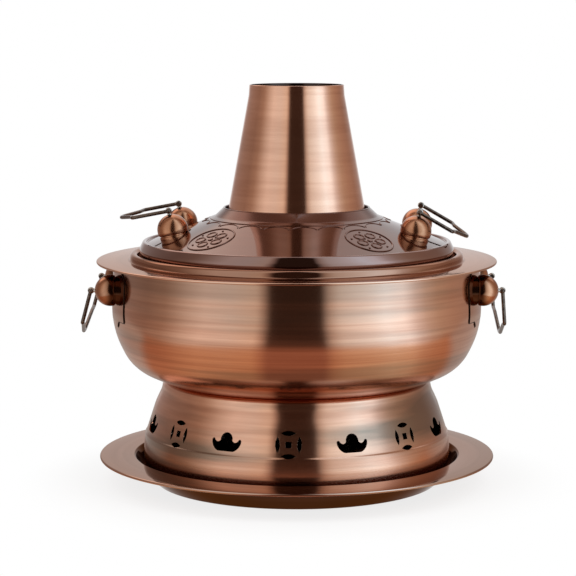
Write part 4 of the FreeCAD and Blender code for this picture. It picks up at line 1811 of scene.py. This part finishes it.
@dataclass
class Studio:
    """Pale floor, white surround, soft lamps, cards and the camera, in metres."""

    camera_distance: float = 1.867
    camera_height: float = 0.406
    pitch: float = 0.127
    lens: float = 136.0
    sensor: float = 36.0
    shift: float = -0.01502
    floor_radius: float = 6.0
    floor_sides: int = 96
    floor_colour: Colour = (0.9, 0.9, 0.9)
    floor_roughness: float = 0.7
    floor_gloss: float = 0.2
    floor_fade: Span = (0.175, 0.25)
    floor_white: Span = (0.8, 1.0)
    surround_level: Span = (0.8, 1.0)

    def build(self) -> None:
        """Builds the whole studio."""
        self.floor()
        self.surround()
        SoftBox("key_right", azimuth=48.0, radiance=2.4).build()
        SoftBox("key_left", azimuth=-48.0, radiance=2.0).build()
        Tent().build()
        self.camera()

    def floor(self) -> None:
        """Builds a pale round floor that fades to white away from the pot."""
        bpy.ops.object.select_all(action="DESELECT")
        bpy.ops.mesh.primitive_circle_add(
            vertices=self.floor_sides, radius=self.floor_radius, fill_type="NGON", location=(0, 0, 0),
        )
        floor = Bench.named("floor")
        nodes = Nodes.material("floor")
        across, along, _ = nodes.split(nodes.place())
        fade = nodes.spread(nodes.rise(nodes.reach(across, along), self.floor_fade), *self.floor_white)
        nodes.shade(base_color=self.floor_colour, roughness=self.floor_roughness)
        nodes.put(nodes.shader.inputs["Specular IOR Level"], self.floor_gloss)
        blend = nodes.add("MixShader")
        nodes.put(blend.inputs[0], nodes.math("MULTIPLY", fade, self.seen(nodes)))
        nodes.put(blend.inputs[1], nodes.shader.outputs[0])
        nodes.put(blend.inputs[2], nodes.add("Emission").outputs[0])
        nodes.surface(blend.outputs[0])
        floor.data.materials.append(nodes.owner)

    @staticmethod
    def seen(nodes: Nodes) -> Socket:
        """Tells the rays that show the background: camera, glossy and transmission rays.

        Args:
            nodes: The nodes of a material or of the world.

        Returns:
            1 for such a ray and 0 for any other.
        """
        path = nodes.add("LightPath")
        glossy = nodes.math("MAXIMUM", path.outputs["Is Glossy Ray"], path.outputs["Is Transmission Ray"])
        return nodes.math("MAXIMUM", path.outputs["Is Camera Ray"], glossy)

    def surround(self) -> None:
        """Makes the world white where it is seen and a soft light elsewhere."""
        world = bpy.data.worlds.new("surround")
        bpy.context.scene.world = world
        nodes = Nodes(world)
        background = nodes.tree.nodes["Background"]
        nodes.put(background.inputs["Color"], WHITE)
        nodes.put(background.inputs["Strength"], nodes.spread(self.seen(nodes), *self.surround_level))

    def camera(self) -> None:
        """Puts the camera in front of the pot, a little above it."""
        data = bpy.data.cameras.new("camera")
        data.sensor_width = self.sensor
        data.lens = self.lens
        data.shift_x = self.shift
        camera = bpy.data.objects.new("camera", data)
        bpy.context.scene.collection.objects.link(camera)
        camera.location = (0, -self.camera_distance, self.camera_height)
        camera.rotation_euler = (math.pi / 2 - self.pitch, 0, 0)
        bpy.context.scene.camera = camera


# ---------------------------------------------------------------- the whole pot


@dataclass
class KnobsAndBails:
    """Where the two sets of knobs sit and how their bails hang, in degrees below level."""

    lid_seat: Span = (102.3, 34.0)
    lid_lift: float = 1.6
    lid_tilt: float = 12.0
    lid_drops: Span = (30.0, 11.0)
    lid_length: float = 46.0
    side_lift: float = 0.6
    side_tilt: float = 90.0
    side_drops: Span = (86.0, 75.0)
    side_length: float = 42.5
    slab: Span = (64.0, 180.0)

    def build(self, finishes: Finishes, wall: list[Corner]) -> None:
        """Builds both sets.

        Args:
            finishes: The finishes.
            wall: Outer face of the bowl.
        """
        across, along = self.lid_seat
        seat = Vector((across, along, STACK.cone(math.hypot(across, along)) + self.lid_lift))
        drops = dict(zip(Way, self.lid_drops))
        tilt = math.radians(self.lid_tilt)
        knobs = KnobSet("lid", seat, tilt, Body.LID, drops, self.lid_length, STACK.lid_turn)
        knobs.build(finishes, finishes.knob, self.under_cone())
        spread = STACK.side_spread
        reach = math.sqrt(STACK.side_reach ** 2 - spread ** 2) + self.side_lift
        seat = Vector((reach, spread, STACK.side_height))
        drops = dict(zip(Way, self.side_drops))
        knobs = KnobSet("side", seat, math.radians(self.side_tilt), Body.POT, drops, self.side_length)
        knobs.build(finishes, finishes.side_knob, self.under_shields(wall))

    def under_cone(self) -> Piece:
        """A solid under the lid's slope, to trim the lid knobs' feet.

        Returns:
            The solid.
        """
        inner, bottom = self.slab
        outer = STACK.groove_radius
        run = [(inner, bottom), (outer, bottom), (outer, STACK.cone(outer)), (inner, STACK.cone(inner))]
        return Bench.spun("under_cone", run)

    @staticmethod
    def under_shields(wall: list[Corner]) -> Piece:
        """A solid inside the outer face of the shield plates, to trim the side knobs' feet.

        Args:
            wall: Outer face of the bowl.

        Returns:
            The solid.
        """
        run = rounded(offset(wall, -STACK.plate_gauge))
        return Bench.spun("under_shields", [(0, run[0][1])] + run + [(0, run[-1][1])], on_axis=True)


def main() -> None:
    """Builds every piece, dresses what stays of the solid model and sets up the studio."""
    bpy.context.scene.view_settings.view_transform = "Standard"
    finishes = Finishes()
    bowl = Bowl()
    for part in (Tray(), VentedBase(), bowl, FirePlace(), Chimney(), Lid()):
        part.build(finishes)
    for part in (ShieldPlates(), KnobsAndBails()):
        part.build(finishes, bowl.wall())
    kept = {
        "coal_grate": finishes.iron,
        "lid_knob_screws": finishes.screw,
        "side_knob_screws": finishes.screw,
        "lid_knob_washers": finishes.rubber,
        "side_knob_washers": finishes.rubber,
    }
    for name, finish in kept.items():
        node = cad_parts[name]
        node.data.materials.clear()
        node.data.materials.append(finish)
        LOG.info("node %s stays", name)
    Studio().build()


if __name__ == "__main__":
    main()
